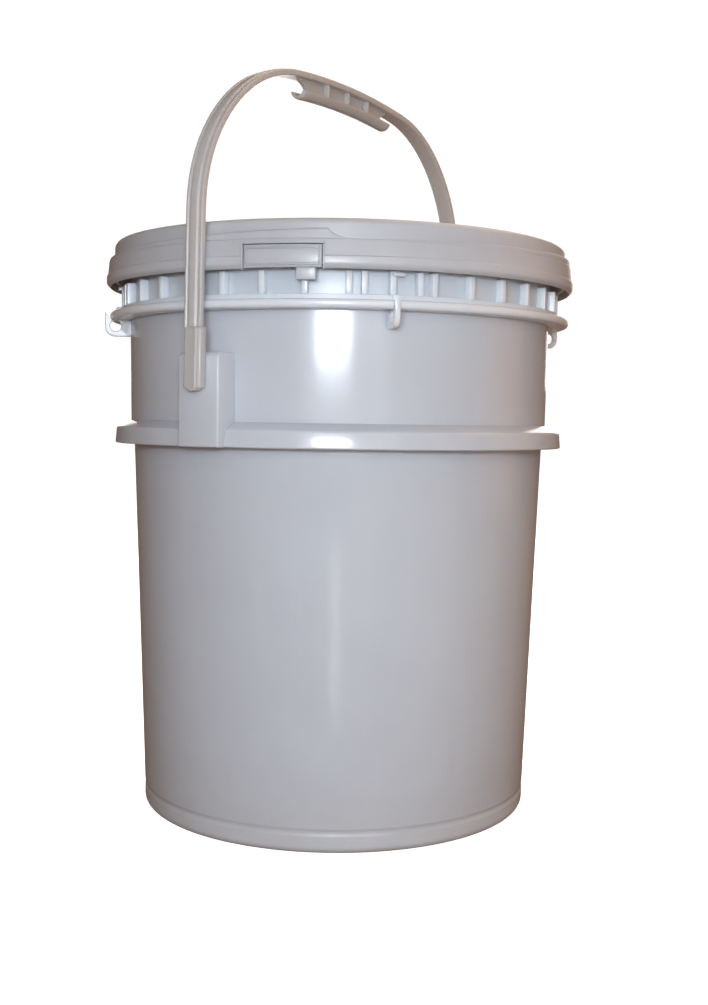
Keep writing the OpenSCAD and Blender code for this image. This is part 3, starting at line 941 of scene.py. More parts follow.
    def ribs(self) -> bpy.types.Object:
        """The upright ribs round the neck, one modelled and the rest copied."""
        sunk = 1.0
        depth = self.rib_r - self.neck_r + sunk
        middle = self.neck_r - sunk + depth / 2
        low, high = self.rib_z - 0.8, self.ring_top + self.rib_h
        rib = Bench.block("rib", (self.rib_t, depth, high - low), (0, -middle, (low + high) / 2))
        Bench.only(rib)
        bpy.ops.object.mode_set(mode="EDIT")
        bpy.ops.mesh.select_mode(type="EDGE")
        mesh = bmesh.from_edit_mesh(rib.data)
        outer = -(middle + depth / 2 - 0.01) * MM
        for edge in mesh.edges:
            edge.select = all(v.co.y < outer for v in edge.verts)
        bmesh.update_edit_mesh(rib.data)
        bpy.ops.mesh.bevel(offset=0.3 * MM, segments=2, affect="EDGES")
        bpy.ops.mesh.select_mode(type="VERT")
        bpy.ops.object.mode_set(mode="OBJECT")
        angles = [self.eye_angle + i * 360 / self.rib_count for i in range(self.rib_count)]
        for quarter in range(4):
            angles += [self.eye_angle + quarter * 90 + s * self.extra_angle for s in (-1, 1)]
        obj = Bench.copies(rib, Bench.round_about(angles), "neck_rib_set")
        return self.fit(obj, Body.BUCKET, Slot.NECK, "neck_ribs")

    def stops(self) -> bpy.types.Object:
        """The low block on the ring and the lug under the lid beside each tie eye."""
        width = (-0.3, 2.4)
        block_heights = (self.ring_top - 1.0, self.ring_top + self.stop_h)
        lug_heights = (self.lid_z - 2.6, self.lid_z - 0.7)
        parts = [
            Bench.sector("block", (self.step_r - 0.5, self.step_r + 3.0), block_heights, width, 0.35),
            Bench.sector("lug", (self.rib_r - 0.5, self.rib_r + 2.2), lug_heights, width, 0.3),
        ]
        turns = Bench.round_about([self.eye_angle + 90 * i for i in range(4)])
        obj = Bench.copies(Bench.joined(parts, "block_and_lug"), turns, "neck_block_set")
        return self.fit(obj, Body.BUCKET, Slot.NECK, "neck_stops")

    def eye(self, angle: float, node: str) -> bpy.types.Object:
        """One tie eye: an upright plate with a round hole, thicker at its root.

        Args:
            angle: where the eye stands, in degrees.
            node: the CAD node it stands for.

        Returns:
            The finished piece.
        """
        low = self.ring_z - self.eye_drop
        high = self.ring_top + self.eye_rise
        hole = Vector((self.eye_r - self.eye_hole_in, low + self.eye_hole_up))
        root = self.neck_r - 1.2
        corners = [
            (root, low, 0.0),
            (self.eye_r, low, self.eye_corner),
            (self.eye_r, high, 0.9),
            (self.ring_r - 0.6, high, 0.6),
            (self.ring_r - 0.6, self.ring_z, 0.0),
            (root, self.ring_z, 0.0),
        ]
        outline = rounded(corners, 5)
        rim = self.spaced(outline, hole, 48)
        half = self.eye_t / 2
        soft = 0.5

        def lift(point: Vector, shift: float) -> Vector:
            """Places a point of the plate, with the root spread a little sideways."""
            spread = 1.0 + 0.55 * max(0.0, 1.0 - (point.x - root) / 3.0)
            return place(angle, point.x, point.y, shift * spread)

        hole_r = self.eye_hole_r
        around = [(p - hole).normalized() for p in rim]
        bore, lip = ([hole + d * r for d in around] for r in (hole_r, hole_r + soft))
        inset = [p + (hole - p).normalized() * soft for p in rim]
        edge = half - soft
        lines = (
            (bore, -edge), (lip, -half), (inset, -half), (rim, -edge),
            (rim, edge), (inset, half), (lip, half), (bore, edge),
        )
        loops = [[lift(p, shift) for p in line] for line, shift in lines]
        loops.append(loops[0])
        obj = Bench.loft(node + "_plate", loops, capped=False)
        return self.fit(obj, Body.BUCKET, Slot.NECK, node, angle=40)

    @staticmethod
    def spaced(outline: Sequence[Point], centre: Vector, count: int) -> list[Vector]:
        """Points where evenly turned rays from a centre meet an outline.

        Args:
            outline: the outline's points.
            centre: where the rays start.
            count: how many rays there are.

        Returns:
            One point for each ray.
        """
        found = []
        for k in range(count):
            t = FULL_TURN * k / count
            ray = Vector((math.cos(t), math.sin(t)))
            best = None
            for i, point in enumerate(outline):
                a = Vector(point) - centre
                b = Vector(outline[(i + 1) % len(outline)]) - centre
                edge = b - a
                cross = ray.x * edge.y - ray.y * edge.x
                if abs(cross) < 1e-12:
                    continue
                dist = (a.x * edge.y - a.y * edge.x) / cross
                along = (a.x * ray.y - a.y * ray.x) / cross
                if dist > 0 and -1e-9 <= along <= 1 + 1e-9 and (best is None or dist < best):
                    best = dist
            found.append(centre + ray * (best or 1.0))
        return found

    def boss(self, angle: float, node: str) -> bpy.types.Object:
        """One handle boss with a chamfered face and a pocket for the peg.

        Args:
            angle: where the boss stands, in degrees.
            node: the CAD node it stands for.

        Returns:
            The finished piece.
        """
        root = self.low_r - 5.0
        half = self.boss_w / 2
        top, face, cham = self.boss_top, self.boss_face, self.boss_chamfer
        low = self.flange_z
        side = [(root, low), (face, low), (face, top - cham), (face - cham, top), (root, top)]
        rings = [[place(0.0, r, z, x) for r, z in side] for x in (-half, half)]
        obj = Bench.loft(node + "_block", rings)
        Bench.bevelled(obj, 0.9, 4, 25)
        peg_z = self.flange_z + self.peg_up
        Bench.bore(obj, self.peg_hole_r, 22.0, (0, -face * MM, peg_z * MM), math.pi / 2)
        Bench.swing(obj, angle)
        return self.fit(obj, Body.BUCKET, Slot.BUCKET, node, angle=35)


# ---- Screw lid and press tab ----


@dataclass
class ScrewLid(SubAssembly):
    """The lid moulding with its seal, grommet and press tab. Sizes in millimetres."""

    sleeve_in: float = 152.2
    crown_r: float = 154.8
    skirt_r: float = 160.3
    skirt_t: float = 2.2
    shoulder_r: float = 158.6
    lid_t: float = 2.6
    crown_in: float = 139.3
    crown_round: float = 4.0
    panel_drop: float = 8.0
    panel_eye_r: float = 3.0
    panel_rings: Point = (56.0, 114.0)
    panel_ring_h: float = 0.7
    band_h: float = 7.5
    ramp_rise: float = 6.1
    ramp_angle: float = 37.0
    ramp_count: int = 4
    ramp_gap: float = 0.5
    ramp_fall: float = 7.5
    tab_angle: float = 19.5
    tab_w: float = 48.0
    tab_h: float = 13.0
    tab_t: float = 3.0
    tab_border: float = 1.6
    tab_rail: float = 1.3
    border_reach: float = 0.955
    gap: float = 0.5
    tongue_w: float = 11.5
    tongue_drop: float = 6.2
    tongue_shift: float = 13.5
    grommet_place: float = 92.0
    grommet_angle: float = 100.0
    bore_r: float = 4.6
    grommet_wall: float = 1.8
    grommet_lip: float = 3.2
    grommet_lip_t: float = 1.9

    def __post_init__(self) -> None:
        """Reads the heights from the frame."""
        self.lid_z = lowest("lid_skirt")
        self.shoulder_z = highest("lid_skirt")
        self.crown_z = highest("lid_cap")
        self.sleeve_z = lowest("lid_cap")
        self.tab_z = lowest("press_tab")
        self.panel_z = self.crown_z - self.panel_drop
        self.tab_r = self.skirt_r + self.gap

    def build(self, frame: dict) -> None:
        """Models and fits every piece of the lid."""
        self.cap()
        self.skirt()
        self.ramps()
        self.window_frame()
        self.grommet()
        self.tab()
        self.tongue()
        self.redress(frame, Slot.LID, "lid_thread_lugs", "press_tab_pins")
        self.redress(frame, Slot.SEAL, "lid_seal")

    def cap(self) -> bpy.types.Object:
        """The sunk panel with its two low rings, the raised crown and the sleeve."""
        low = self.panel_z - self.lid_t
        roof = self.crown_z - self.lid_t
        ring_z = self.panel_z + self.panel_ring_h
        top = [(self.panel_eye_r, self.panel_z, 0.0), (self.panel_eye_r + 0.6, self.panel_z, 0.0)]
        for r in self.panel_rings:
            top += [(r, self.panel_z, 0.3), (r + 1, ring_z, 0.4)]
            top += [(r + 3, ring_z, 0.4), (r + 4, self.panel_z, 0.3)]
        top += [
            (self.crown_in - 1.6, self.panel_z, 1.6),
            (self.crown_in + 0.6, self.crown_z, 1.6),
            (self.crown_r, self.crown_z, self.crown_round),
            (self.crown_r, self.sleeve_z, 0.5),
            (self.sleeve_in, self.sleeve_z, 0.5),
            (self.sleeve_in, roof, 1.0),
            (self.crown_in, roof, 1.0),
            (self.crown_in - self.lid_t, low, 1.5),
            (self.panel_eye_r, low, 0.0),
        ]
        obj = Bench.turn("lid_top", rounded(top, 8))
        Bench.fill_disc(obj, self.panel_eye_r, self.panel_z, low)
        spot = place(self.grommet_angle, self.grommet_place, self.panel_z)
        Bench.bore(obj, self.bore_r + self.grommet_wall, 12.0, spot, sides=64)
        return self.fit(obj, Body.LID, Slot.LID, "lid_cap", angle=38)

    def skirt(self) -> bpy.types.Object:
        """The skirt with its rolled lower band, its bead and the opening for the press tab."""
        band = self.lid_z + self.band_h
        t = self.skirt_t
        profile = [
            (self.skirt_r - t - 0.6, self.lid_z + 0.8, 0.5),
            (self.skirt_r - 2.8, self.lid_z, 0.9),
            (self.skirt_r, self.lid_z + 2.4, 3.0),
            (self.skirt_r - 0.05, band - 0.5, 0.5),
            (self.skirt_r - 0.85, band + 0.15, 0.2),
            (self.shoulder_r - 0.1, self.shoulder_z, 0.9),
            (self.crown_r - 1.0, self.shoulder_z, 0.0),
            (self.crown_r - 1.0, self.shoulder_z - t, 0.0),
            (self.shoulder_r - t, self.shoulder_z - t, 0.8),
        ]
        obj = Bench.turn("lid_skirt_band", rounded(profile, 8))
        high = self.tab_z + self.tab_h + self.gap
        depth = 9.0
        low = self.lid_z - 2.0
        middle = (0, -self.skirt_r + depth / 2 - 2.0, (high + low) / 2)
        tool = Bench.block("window", (self.tab_w, depth, high - low), middle)
        Bench.swing(tool, self.tab_angle)
        Bench.cut(obj, tool)
        return self.fit(obj, Body.LID, Slot.LID, "lid_skirt", angle=38)

    def ramps(self) -> bpy.types.Object:
        """The four ramps that climb round the shoulder, each ending in a soft scooped step."""
        fall = self.ramp_fall
        climb = 360 / self.ramp_count - self.ramp_gap - fall
        steps = [climb * i / RAMP_STEPS for i in range(RAMP_STEPS + 1)]
        steps += [climb + fall * (k / FALL_STEPS) ** 1.5 for k in range(1, FALL_STEPS + 1)]
        rings = []
        for a in steps:
            height = self.ramp_rise * min(1.0, a / climb) ** 1.2
            if a > climb:
                height = self.ramp_rise * (1 - (a - climb) / fall) ** 4
            rings.append(self.ramp_ring(self.ramp_angle + a, max(height, 0.05)))
        ramp_piece = Bench.loft("ramp", rings)
        turns = Bench.round_about([i * 360 / self.ramp_count for i in range(self.ramp_count)])
        obj = Bench.copies(ramp_piece, turns, "lid_shoulder_ramp_set")
        return self.fit(obj, Body.LID, Slot.LID, "lid_shoulder_ramps", angle=40)

    def ramp_ring(self, angle: float, height: float) -> list[Vector]:
        """The outline of a shoulder ramp at an angle, for a ramp top at a height in millimetres."""
        low = self.shoulder_z - 1.5
        z = self.shoulder_z + height
        out = self.shoulder_r - 0.25 - 0.09 * height
        soft = min(1.6, height * 0.45)
        edge = [
            (self.crown_r - 1.0, low),
            (out, low),
            (out, z - soft),
            (out - soft * 0.13, z - soft * 0.5),
            (out - soft * 0.5, z - soft * 0.12),
            (out - soft, z),
            (self.crown_r + 0.4, z + 0.25),
            (self.crown_r - 1.0, z + 0.3),
        ]
        return [place(angle, r, h) for r, h in edge]

    def window_frame(self) -> bpy.types.Object:
        """The thin raised border on the skirt round the press tab's opening."""
        half = self.tab_w / 2
        low, high = self.tab_z - 1.0, self.tab_z + self.tab_h + self.gap
        wide, proud, soft = 1.0, 0.5, 0.25
        r0, r1 = self.skirt_r - 2.0, self.skirt_r + proud
        reach = math.degrees(half / self.skirt_r)
        more = math.degrees((half + wide) / self.skirt_r)
        top = high + wide
        parts = [
            Bench.sector("left", (r0, r1), (low, top), (-more, -reach), soft),
            Bench.sector("right", (r0, r1), (low, top), (reach, more), soft),
            Bench.sector("over", (r0, r1 - 0.1), (high, top), (-more, more), soft),
        ]
        obj = Bench.joined(parts, "tab_window_frame")
        Bench.swing(obj, self.tab_angle)
        return self.fit(obj, Body.LID, Slot.LID)

    def grommet(self) -> bpy.types.Object:
        """The rubber grommet with its two rounded lips."""
        neck = self.bore_r + self.grommet_wall
        lip = neck + self.grommet_lip
        low = self.panel_z - self.lid_t
        profile = [
            (self.bore_r, low - self.grommet_lip_t, 0.5),
            (lip, low - self.grommet_lip_t, 0.9),
            (lip, low - 0.02, 0.4),
            (neck, low - 0.02, 0.2),
            (neck, self.panel_z + 0.02, 0.2),
            (lip, self.panel_z + 0.02, 0.4),
            (lip, self.panel_z + self.grommet_lip_t, 0.9),
            (self.bore_r, self.panel_z + self.grommet_lip_t, 0.5),
        ]
        obj = Bench.turn("airlock_grommet_ring", rounded(profile, 6), steps=64)
        obj.data.transform(Matrix.Translation(place(self.grommet_angle, self.grommet_place, 0.0)))
        return self.fit(obj, Body.LID, Slot.GROMMET, "airlock_grommet")

    def tab(self) -> bpy.types.Object:
        """The curved press tab with a raised border round a sunk field."""
        half = (self.tab_w - 2 * self.gap) / 2
        reach = math.degrees(half / self.tab_r)
        low, high = self.tab_z, self.tab_z + self.tab_h
        depth = (self.tab_r - self.tab_t, self.tab_r - 0.6)
        field = Bench.sector("field", depth, (low, high), (-reach, reach), 0.3)
        radii = (self.tab_r - 1.6, self.tab_r)
        foot, head = low + self.tab_border - 0.5, high - self.tab_border + 0.5
        edge = reach * self.border_reach
        rail_a = math.degrees(self.tab_rail / self.tab_r)
        rails = {
            "sill": ((foot, low + self.tab_border + self.tab_rail - 0.5), (-edge, edge)),
            "head": ((high - self.tab_border - self.tab_rail + 0.5, head), (-edge, edge)),
            "jamb_a": ((foot, head), (-edge, -edge + rail_a)),
            "jamb_b": ((foot, head), (edge - rail_a, edge)),
        }
        parts = [field] + [Bench.sector(name, radii, *extent, 0.35) for name, extent in rails.items()]
        obj = Bench.joined(parts, "press_tab_panel")
        Bench.swing(obj, self.tab_angle)
        return self.fit(obj, Body.TAB, Slot.LID, "press_tab")

    def tongue(self) -> bpy.types.Object:
        """The short tongue that hangs below the press tab."""
        r1 = self.tab_r - self.tab_t
        shift = math.degrees(self.tongue_shift / r1)
        half = math.degrees(self.tongue_w / 2 / r1)
        low = self.lid_z - self.tongue_drop
        top = self.tab_z + 3.0
        angles = (shift - half, shift + half)
        obj = Bench.sector("press_tab_tongue_plate", (r1 - 2.0, r1), (low, top), angles, 0.5)
        Bench.swing(obj, self.tab_angle)
        return self.fit(obj, Body.TAB, Slot.LID, "press_tab_tongue")


# ---- Bail handle ----


@dataclass
class Bail(SubAssembly):
    """The bail handle: strap, leg ends, grip and webs. Sizes in millimetres."""

    strap_r: float = 164.3
    strap_w: float = 12.4
    strap_t: float = 3.2
    rib_h: float = 1.0
    rib_w: float = 4.4
    bead_h: float = 0.6
    bead_w: float = 1.7
    side_r: float = 91.0
    side_angle: float = 32.0
    shoulder_r: float = 110.0
    shoulder_angle: float = 84.0
    leg_up: float = 18.0
    leg_end_h: float = 32.0
    lean: float = 1.1
    grip_l: float = 114.0
    grip_shift: float = 6.0
    grip_h: float = 17.0
    wall_t: float = 2.6
    trough_h: float = 5.0
    trough_t: float = 2.0
    web_pitch: float = 26.0
    web_t: float = 2.6

    def __post_init__(self) -> None:
        """Reads the pegs' height from the frame and works out the middles of the bends."""
        low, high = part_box("handle_peg_front")
        self.peg_z = (low[2] + high[2]) / 2 / MM
        self.arch_z = highest("lid_skirt") + self.leg_up
        side, shoulder = self.side_r, self.shoulder_r
        a1, a2 = math.radians(self.side_angle), math.radians(self.shoulder_angle)
        self.shoulder_y = self.strap_r - side + (side - shoulder) * math.cos(a1)
        self.shoulder_mid_z = self.arch_z + (side - shoulder) * math.sin(a1)
        self.crown_r = shoulder + self.shoulder_y / math.cos(a2)
        self.crown_mid_z = self.shoulder_mid_z - (self.crown_r - shoulder) * math.sin(a2)

    def build(self, frame: dict) -> None:
        """Models and fits every piece of the handle."""
        self.strap()
        self.leg_end(0, "front")
        self.leg_end(180, "back")
        self.grip()
        self.webs()
        self.redress(frame, Slot.HANDLE, "handle_peg_front", "handle_peg_back")

    def leaned(self, point: Vector) -> Vector:
        """A point in metres after the raised handle's slight lean about its pegs."""
        pivot = Vector((0, 0, self.peg_z * MM))
        return pivot + Matrix.Rotation(math.radians(self.lean), 3, "Y") @ (point - pivot)

    def section(self) -> list[Point]:
        """The strap's outline: outwards and across, with a middle rib and edge beads."""
        t, w = self.strap_t / 2, self.strap_w / 2
        rib, bead = self.rib_w / 2, self.bead_w
        half = [
            (t + self.rib_h, rib, 0.5),
            (t, rib + 0.9, 0.5),
            (t, w - bead - 0.3, 0.3),
            (t + self.bead_h, w - bead + 0.3, 0.3),
            (t + self.bead_h, w, 0.6),
            (-t, w, 0.8),
        ]
        other = [(x, -y, r) for x, y, r in reversed(half)]
        return rounded(half + other, 4)

    def station(self, mid_y: float, mid_z: float, r: float, turn: float) -> tuple[Vector, Vector]:
        """A point on the strap's middle line and the outward direction there, in the handle's plane.

        Args:
            mid_y: how far the bend's middle lies from the bucket's axis; negative at the front.
            mid_z: the height of the bend's middle.
            r: the bending radius.
            turn: the angle of the outward direction, 0 at the front leg and 180 at the back leg.

        Returns:
            The point in millimetres and the outward direction.
        """
        t = math.radians(turn)
        out = Vector((0.0, -math.cos(t), math.sin(t)))
        return Vector((0.0, mid_y, mid_z)) + out * r, out

    def strap(self) -> bpy.types.Object:
        """The whole strap from one thick leg end over the grip to the other."""
        a1, a2 = self.side_angle, self.shoulder_angle
        b1, b2 = 180 - a1, 180 - a2
        y1, y2 = self.strap_r - self.side_r, self.shoulder_y
        low_z, high_z = self.arch_z, self.shoulder_mid_z
        front = Vector((0.0, -1.0, 0.0))
        start = self.peg_z + self.leg_end_h - 0.8
        stations = [(Vector((0.0, -self.strap_r, start)), front)]
        stations += self.bend(-y1, low_z, self.side_r, 0, a1, 6)
        stations += self.bend(-y2, high_z, self.shoulder_r, a1, a2, 14)[1:]
        stations += self.bend(0.0, self.crown_mid_z, self.crown_r, a2, b2, 20)[1:]
        stations += self.bend(y2, high_z, self.shoulder_r, b2, b1, 14)[1:]
        stations += self.bend(y1, low_z, self.side_r, b1, 180, 6)[1:]
        stations.append((Vector((0.0, self.strap_r, start)), -front))
        outline = self.section()
        rings = []
        for point, out in stations:
            rings.append([self.leaned((point + out * u + Vector((v, 0, 0))) * MM) for u, v in outline])
        obj = Bench.loft("handle_strap", rings)
        nodes = ["handle_crown"]
        nodes += [f"handle_{part}_{end}" for part in ("shoulder", "bend") for end in ("front", "back")]
        return self.fit(obj, Body.HANDLE, Slot.HANDLE, *nodes, angle=36)

    def bend(
        self, mid_y: float, mid_z: float, r: float, a: float, b: float, steps: int
    ) -> list[tuple[Vector, Vector]]:
        """Stations along one bend of the strap, from angle a to angle b in degrees."""
        return [self.station(mid_y, mid_z, r, a + (b - a) * i / steps) for i in range(steps + 1)]

    def leg_end(self, angle: float, end: str) -> bpy.types.Object:
        """The thick end of a leg, with a fine ridge down its face and a small nub at its foot.

        Args:
            angle: 0 for the front leg and 180 for the back leg.
            end: the leg's name.

        Returns:
            The finished piece.
        """
        w = self.strap_w / 2
        inner = self.leg_in_r()
        face = self.strap_r + self.strap_t / 2 + 0.1
        ridge = face + 0.8
        low, top = self.peg_z - w, self.peg_z + self.leg_end_h
        section = rounded([
            (-w, inner, 0.8), (w, inner, 0.8), (w, face, 1.2), (3.6, face, 0.2), (3.1, ridge, 0.3),
            (1.9, ridge, 0.3), (1.4, face, 0.2), (-w, face, 1.2),
        ], 4)
        foot = (
            (0.0, 0.3), (0.2, 0.45), (0.6, 0.58), (1.2, 0.66),
            (1.8, 0.7), (1.85, 0.94), (2.1, 0.98), (2.7, 1.0),
        )
        rings = []
        for lift, narrow in foot:
            rings.append([Vector((x * narrow, -y, low + lift)) for x, y in section])
        rings.append([Vector((x, -y, top - 1.6)) for x, y in section])
        middle = (inner + face) / 2
        for lift, shrink in ((0.7, 0.96), (0.2, 0.86), (0.0, 0.7)):
            ring = [(x * shrink, middle + (y - middle) * shrink) for x, y in section]
            rings.append([Vector((x, -y, top - lift)) for x, y in ring])
        turn = Matrix.Rotation(math.radians(angle), 3, "Z")
        rings = [[self.leaned(turn @ p * MM) for p in ring] for ring in rings]
        obj = Bench.loft(f"handle_leg_end_{end}", rings)
        return self.fit(obj, Body.HANDLE, Slot.HANDLE, f"handle_leg_{end}", angle=40)

    def leg_in_r(self) -> float:
        """How far the inner face of a leg end lies from the bucket's axis, in millimetres."""
        return -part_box("handle_leg_front")[1][1] / MM

    def on_crown(self, run: float, drop: float, side: float) -> Vector:
        """A point under the crown of the strap, in metres.

        Args:
            run: the distance along the grip from its middle.
            drop: the height from the strap's middle line; negative below it.
            side: the distance across the grip.

        Returns:
            The point.
        """
        turn = 90 + math.degrees((run - self.grip_shift) / self.crown_r)
        point, _ = self.station(0.0, self.crown_mid_z, self.crown_r + drop, turn)
        return self.leaned((point + Vector((side, 0, 0))) * MM)

    def grip(self) -> bpy.types.Object:
        """The upright wall under the strap and the rounded trough below it."""
        bottom = self.strap_t / 2 + self.bead_h - self.grip_h
        trough_r = ((self.strap_w / 2) ** 2 + self.trough_h**2) / (2 * self.trough_h)
        half_l = self.grip_l / 2
        arc = math.degrees(math.asin(self.strap_w / 2 / trough_r))
        outer = [(trough_r, a) for a in (arc * (-1 + k / 7) for k in range(15))]
        inner = [(trough_r - self.trough_t, a) for _, a in reversed(outer)]
        section = []
        for r, a in outer + inner:
            t = math.radians(a)
            section.append((r * math.sin(t), trough_r - r * math.cos(t)))
        rings = []
        runs = [-half_l, -half_l + 1, -half_l + 3, -half_l + 6]
        runs += [-half_l + 6 + (self.grip_l - 12) * k / 16 for k in range(1, 16)]
        runs += [half_l - 6, half_l - 3, half_l - 1, half_l]
        for run in runs:
            near = max(0.0, 1 - (half_l - abs(run)) / 3)
            narrow = 1 - 0.12 * near**2
            lift = 0.8 * near**2
            flat = 1 - 0.1 * near
            rings.append([self.on_crown(run, bottom + lift + h * flat, x * narrow) for x, h in section])
        obj = Bench.loft("handle_grip_body", rings)
        Bench.bevelled(obj, 0.35, 2, 50)
        wall = self.grip_wall(bottom + self.trough_t / 2, -self.strap_t / 2 + 0.3, half_l)
        obj = Bench.joined([obj, wall], "handle_grip_body")
        return self.fit(obj, Body.HANDLE, Slot.HANDLE, "handle_grip", angle=40)

    def grip_wall(self, low: float, high: float, half_l: float) -> bpy.types.Object:
        """The grip's upright wall, with its two ends cut to a concave curve.

        Args:
            low: the wall's lower edge from the strap's middle line.
            high: the wall's upper edge from the strap's middle line.
            half_l: half the grip's length.

        Returns:
            The new object.
        """
        rings = []
        levels = 10
        for k in range(levels + 1):
            f = k / levels
            scoop = 7.0 * math.sin(math.pi * min(1.0, f * 1.15)) ** 0.8 if f < 0.87 else 0.0
            reach = half_l - 2.5 - scoop + 1.5 * f
            half = self.wall_t / 2 * (1.0 + 0.35 * max(0.0, f - 0.85) / 0.15)
            drop = low + (high - low) * f
            runs = [-reach + 2 * reach * j / 20 for j in range(21)]
            ring = [self.on_crown(run, drop, half) for run in runs]
            ring += [self.on_crown(run, drop, -half) for run in reversed(runs)]
            rings.append(ring)
        return Bench.loft("grip_wall", rings)

    def webs(self) -> bpy.types.Object:
        """The cross webs on both sides of the grip's wall."""
        bottom = self.strap_t / 2 + self.bead_h - self.grip_h
        reach = self.strap_w / 2 - 1.2
        roof = -self.strap_t / 2 + 0.2
        half = 0.5 * self.web_t
        parts = []
        for run in (-self.web_pitch, 0.0, self.web_pitch):
            for side in (-1, 1):
                rings = []
                for across in (0.5, reach * 0.5, reach * 0.8, reach):
                    floor = bottom + 1.2 + 3.2 * (across / reach) ** 2
                    corners = ((-half, floor), (half, floor), (half, roof), (-half, roof))
                    out = side * across
                    rings.append([self.on_crown(run + step, drop, out) for step, drop in corners])
                part = Bench.loft("web", rings)
                Bench.bevelled(part, 0.3, 2, 50)
                parts.append(part)
        obj = Bench.joined(parts, "handle_grip_web_set")
        return self.fit(obj, Body.HANDLE, Slot.HANDLE, "handle_grip_webs")


# ---- Studio ----


@dataclass(frozen=True)
class Lamp:
    """An area lamp aimed at the bucket's axis.

    Attributes:
        name: the lamp's name.
        azimuth: where it stands, in degrees.
        distance: how far it stands from the bucket's axis, in metres.
        height: its height in metres.
        size: its width and height in metres.
        power: its power in watts.
        colour: its colour.
        aim: the height that it is aimed at, in metres.
    """

    name: str
    azimuth: float
    distance: float
    height: float
    size: Point
    power: float
    colour: Colour
    aim: float = 0.25

    def hang(self) -> None:
        """Makes the lamp and turns it to its aim."""
        data = bpy.data.lights.new(self.name, "AREA")
        data.shape = "RECTANGLE"
        data.size, data.size_y = self.size
        data.energy = self.power
        data.color = self.colour
        lamp = bpy.data.objects.new(self.name, data)
        bpy.context.scene.collection.objects.link(lamp)
        out, _ = heading(self.azimuth)
        lamp.location = out * self.distance + Vector((0, 0, self.height))
        lamp.visible_camera = False
        sight = Vector((0, 0, self.aim)) - lamp.location
        lamp.rotation_euler = sight.to_track_quat("-Z", "Y").to_euler()


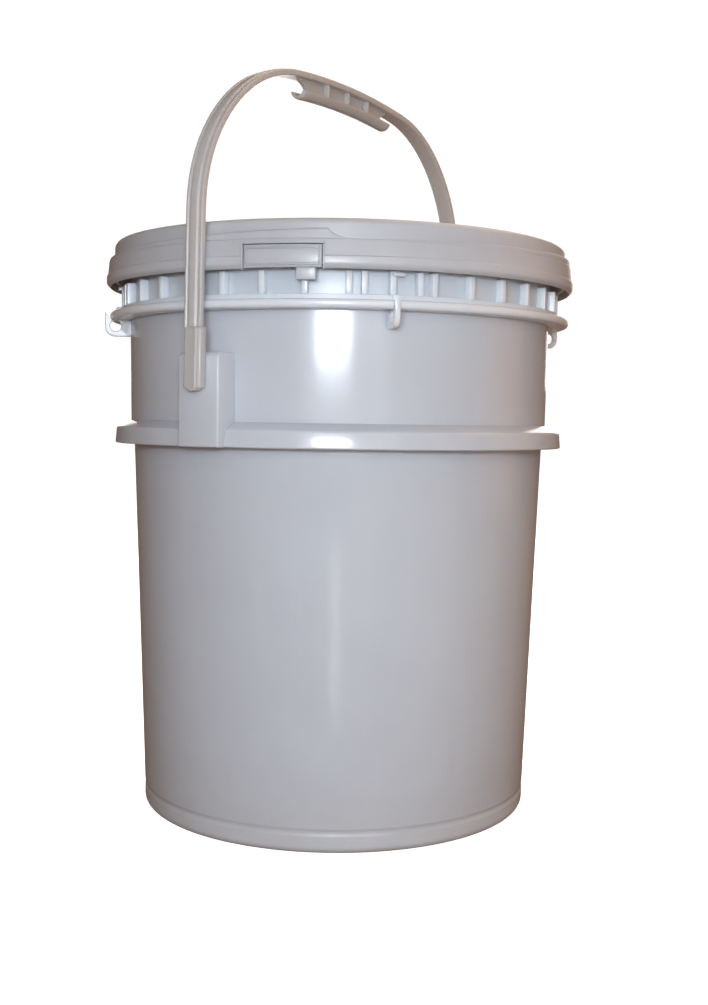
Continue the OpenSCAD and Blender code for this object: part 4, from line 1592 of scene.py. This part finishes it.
@dataclass
class Studio:
    """Camera, floor and lights."""

    azimuth: float = 31.8
    distance: float = 0.8889
    height: float = 0.26705
    pitch: float = 3.805
    aim: float = 1.094
    roll: float = 0.852
    lens: float = 45.1
    shift_x: float = -0.0076
    shift_y: float = 0.0004
    floor_size: float = 12.0
    floor_drop: float = 0.0004
    room_colour: Colour = (1.0, 0.65, 0.48)
    room_strength: float = 0.169
    backdrop_strength: float = 1.05
    wash_strength: float = 1.1
    wash_spread: float = 70.0

    def build(self) -> None:
        """Makes the camera, floor, world and lights."""
        self.camera()
        self.floor()
        self.world()
        self.lights()
        bpy.context.scene.view_settings.view_transform = "Standard"

    def camera(self) -> None:
        """The camera, a little above the middle of the bucket and turned slightly off its axis."""
        data = bpy.data.cameras.new("camera")
        cam = bpy.data.objects.new("camera", data)
        bpy.context.scene.collection.objects.link(cam)
        out, _ = heading(self.azimuth)
        cam.location = out * self.distance + Vector((0, 0, self.height))
        look = Matrix.Rotation(math.radians(self.azimuth - self.aim), 4, "Z")
        tilt = Matrix.Rotation(math.radians(90 - self.pitch), 4, "X")
        spin = Matrix.Rotation(math.radians(self.roll), 4, "Z")
        cam.rotation_euler = (look @ tilt @ spin).to_euler()
        data.lens = self.lens
        data.shift_x, data.shift_y = self.shift_x, self.shift_y
        data.clip_start, data.clip_end = 0.01, 50.0
        bpy.context.scene.camera = cam

    def floor(self) -> None:
        """The plain pale floor."""
        Bench.clear()
        bpy.ops.mesh.primitive_plane_add(size=self.floor_size, location=(0, 0, -self.floor_drop))
        obj = bpy.context.object
        obj.name = "studio_floor"
        obj.data.materials.append(Paper("floor_paper", (0.93, 0.93, 0.93)).build())
        obj.visible_diffuse = False
        obj.visible_glossy = False

    def world(self) -> None:
        """A white backdrop for the camera and a dimmer warm room for the light."""
        world = bpy.data.worlds.new("room")
        bpy.context.scene.world = world
        world.use_nodes = True
        nodes, links = world.node_tree.nodes, world.node_tree.links
        room = nodes["Background"]
        room.inputs["Color"].default_value = opaque(self.room_colour)
        room.inputs["Strength"].default_value = self.room_strength
        back = nodes.new("ShaderNodeBackground")
        back.inputs["Color"].default_value = (1.0, 1.0, 1.0, 1.0)
        back.inputs["Strength"].default_value = self.backdrop_strength
        sight = nodes.new("ShaderNodeLightPath")
        mix = nodes.new("ShaderNodeMixShader")
        links.new(sight.outputs["Is Camera Ray"], mix.inputs["Fac"])
        links.new(room.outputs[0], mix.inputs[1])
        links.new(back.outputs[0], mix.inputs[2])
        links.new(mix.outputs[0], nodes["World Output"].inputs["Surface"])

    def lights(self) -> None:
        """The lamp beside the camera, the wide soft boxes round the bucket and the low glint."""
        az = self.azimuth
        lamps = (
            Lamp("front_lamp", az - 3.2, 0.93, 0.362, (0.25, 0.085), 3.6, (0.8, 0.9, 1.0)),
            Lamp("wide_front", az + 4.0, 1.8, 0.7, (1.6, 1.2), 10.0, (0.95, 0.98, 1.0)),
            Lamp("right_fill", 125.0, 1.4, 0.6, (0.9, 1.2), 2.2, (1.0, 0.45, 0.16)),
            Lamp("back_fill", 208.0, 1.8, 0.9, (1.6, 1.2), 13.0, (0.96, 0.98, 1.0)),
            Lamp("top_warmth", 150.0, 0.7, 1.5, (1.0, 1.0), 6.5, (1.0, 0.72, 0.46)),
            Lamp("low_bounce", 62.0, 0.75, 0.012, (0.9, 0.9), 0.6, (1.0, 0.88, 0.78)),
            Lamp("low_glint", az - 0.4, 0.36, 0.072, (0.03, 0.14), 0.03, (1.0, 1.0, 1.0), 0.072),
        )
        for lamp in lamps:
            lamp.hang()
        self.floor_wash()

    def floor_wash(self) -> None:
        """A soft light from straight above that falls on the floor alone."""
        data = bpy.data.lights.new("floor_wash", "SUN")
        data.energy = self.wash_strength
        data.angle = math.radians(self.wash_spread)
        lamp = bpy.data.objects.new("floor_wash", data)
        bpy.context.scene.collection.objects.link(lamp)
        lamp.location = (0.0, 0.0, 2.0)
        group = bpy.data.collections.new("floor_only")
        group.objects.link(bpy.data.objects["studio_floor"])
        lamp.light_linking.receiver_collection = group


def make_finishes() -> dict[Slot, bpy.types.Material]:
    """Builds one material for each slot and returns them by slot."""
    wall = Moulded("satin_wall", (0.6, 0.625, 0.67), (0.57, 0.59, 0.635), 0.17, 0.6, soil=0.4)
    # Partly painted light: the neck's pale colour is partly its thinner, more translucent plastic and
    # partly a painted brightening that makes up for the shade under the lid.
    neck = Moulded("thin_neck_with_painted_light", (0.78, 0.82, 0.86), (0.74, 0.78, 0.83), 0.24, 0.4, 0.5)
    lid = Moulded("satin_lid", (0.56, 0.565, 0.59), (0.52, 0.525, 0.55), 0.28, 0.7, 0.3)
    handle = Moulded("satin_handle", (0.54, 0.52, 0.51), (0.5, 0.48, 0.465), 0.27, 0.8, 0.3)
    return {
        Slot.BUCKET: wall.build(),
        Slot.NECK: neck.build(),
        Slot.LID: lid.build(),
        Slot.SEAL: Rubber("seal_rubber", (0.05, 0.05, 0.055), (0.1, 0.1, 0.11)).build(),
        Slot.GROMMET: Rubber("grommet_rubber", (0.07, 0.07, 0.075), (0.13, 0.13, 0.14)).build(),
        Slot.HANDLE: handle.build(),
    }


def main() -> None:
    """Builds every sub-assembly in order."""
    logging.basicConfig(level=logging.INFO, format="%(name)s: %(message)s")
    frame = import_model()
    finishes = make_finishes()
    Studio().build()
    for part in (Pail(finishes), ScrewLid(finishes), Bail(finishes)):
        part.build(frame)


if __name__ == "__main__":
    main()
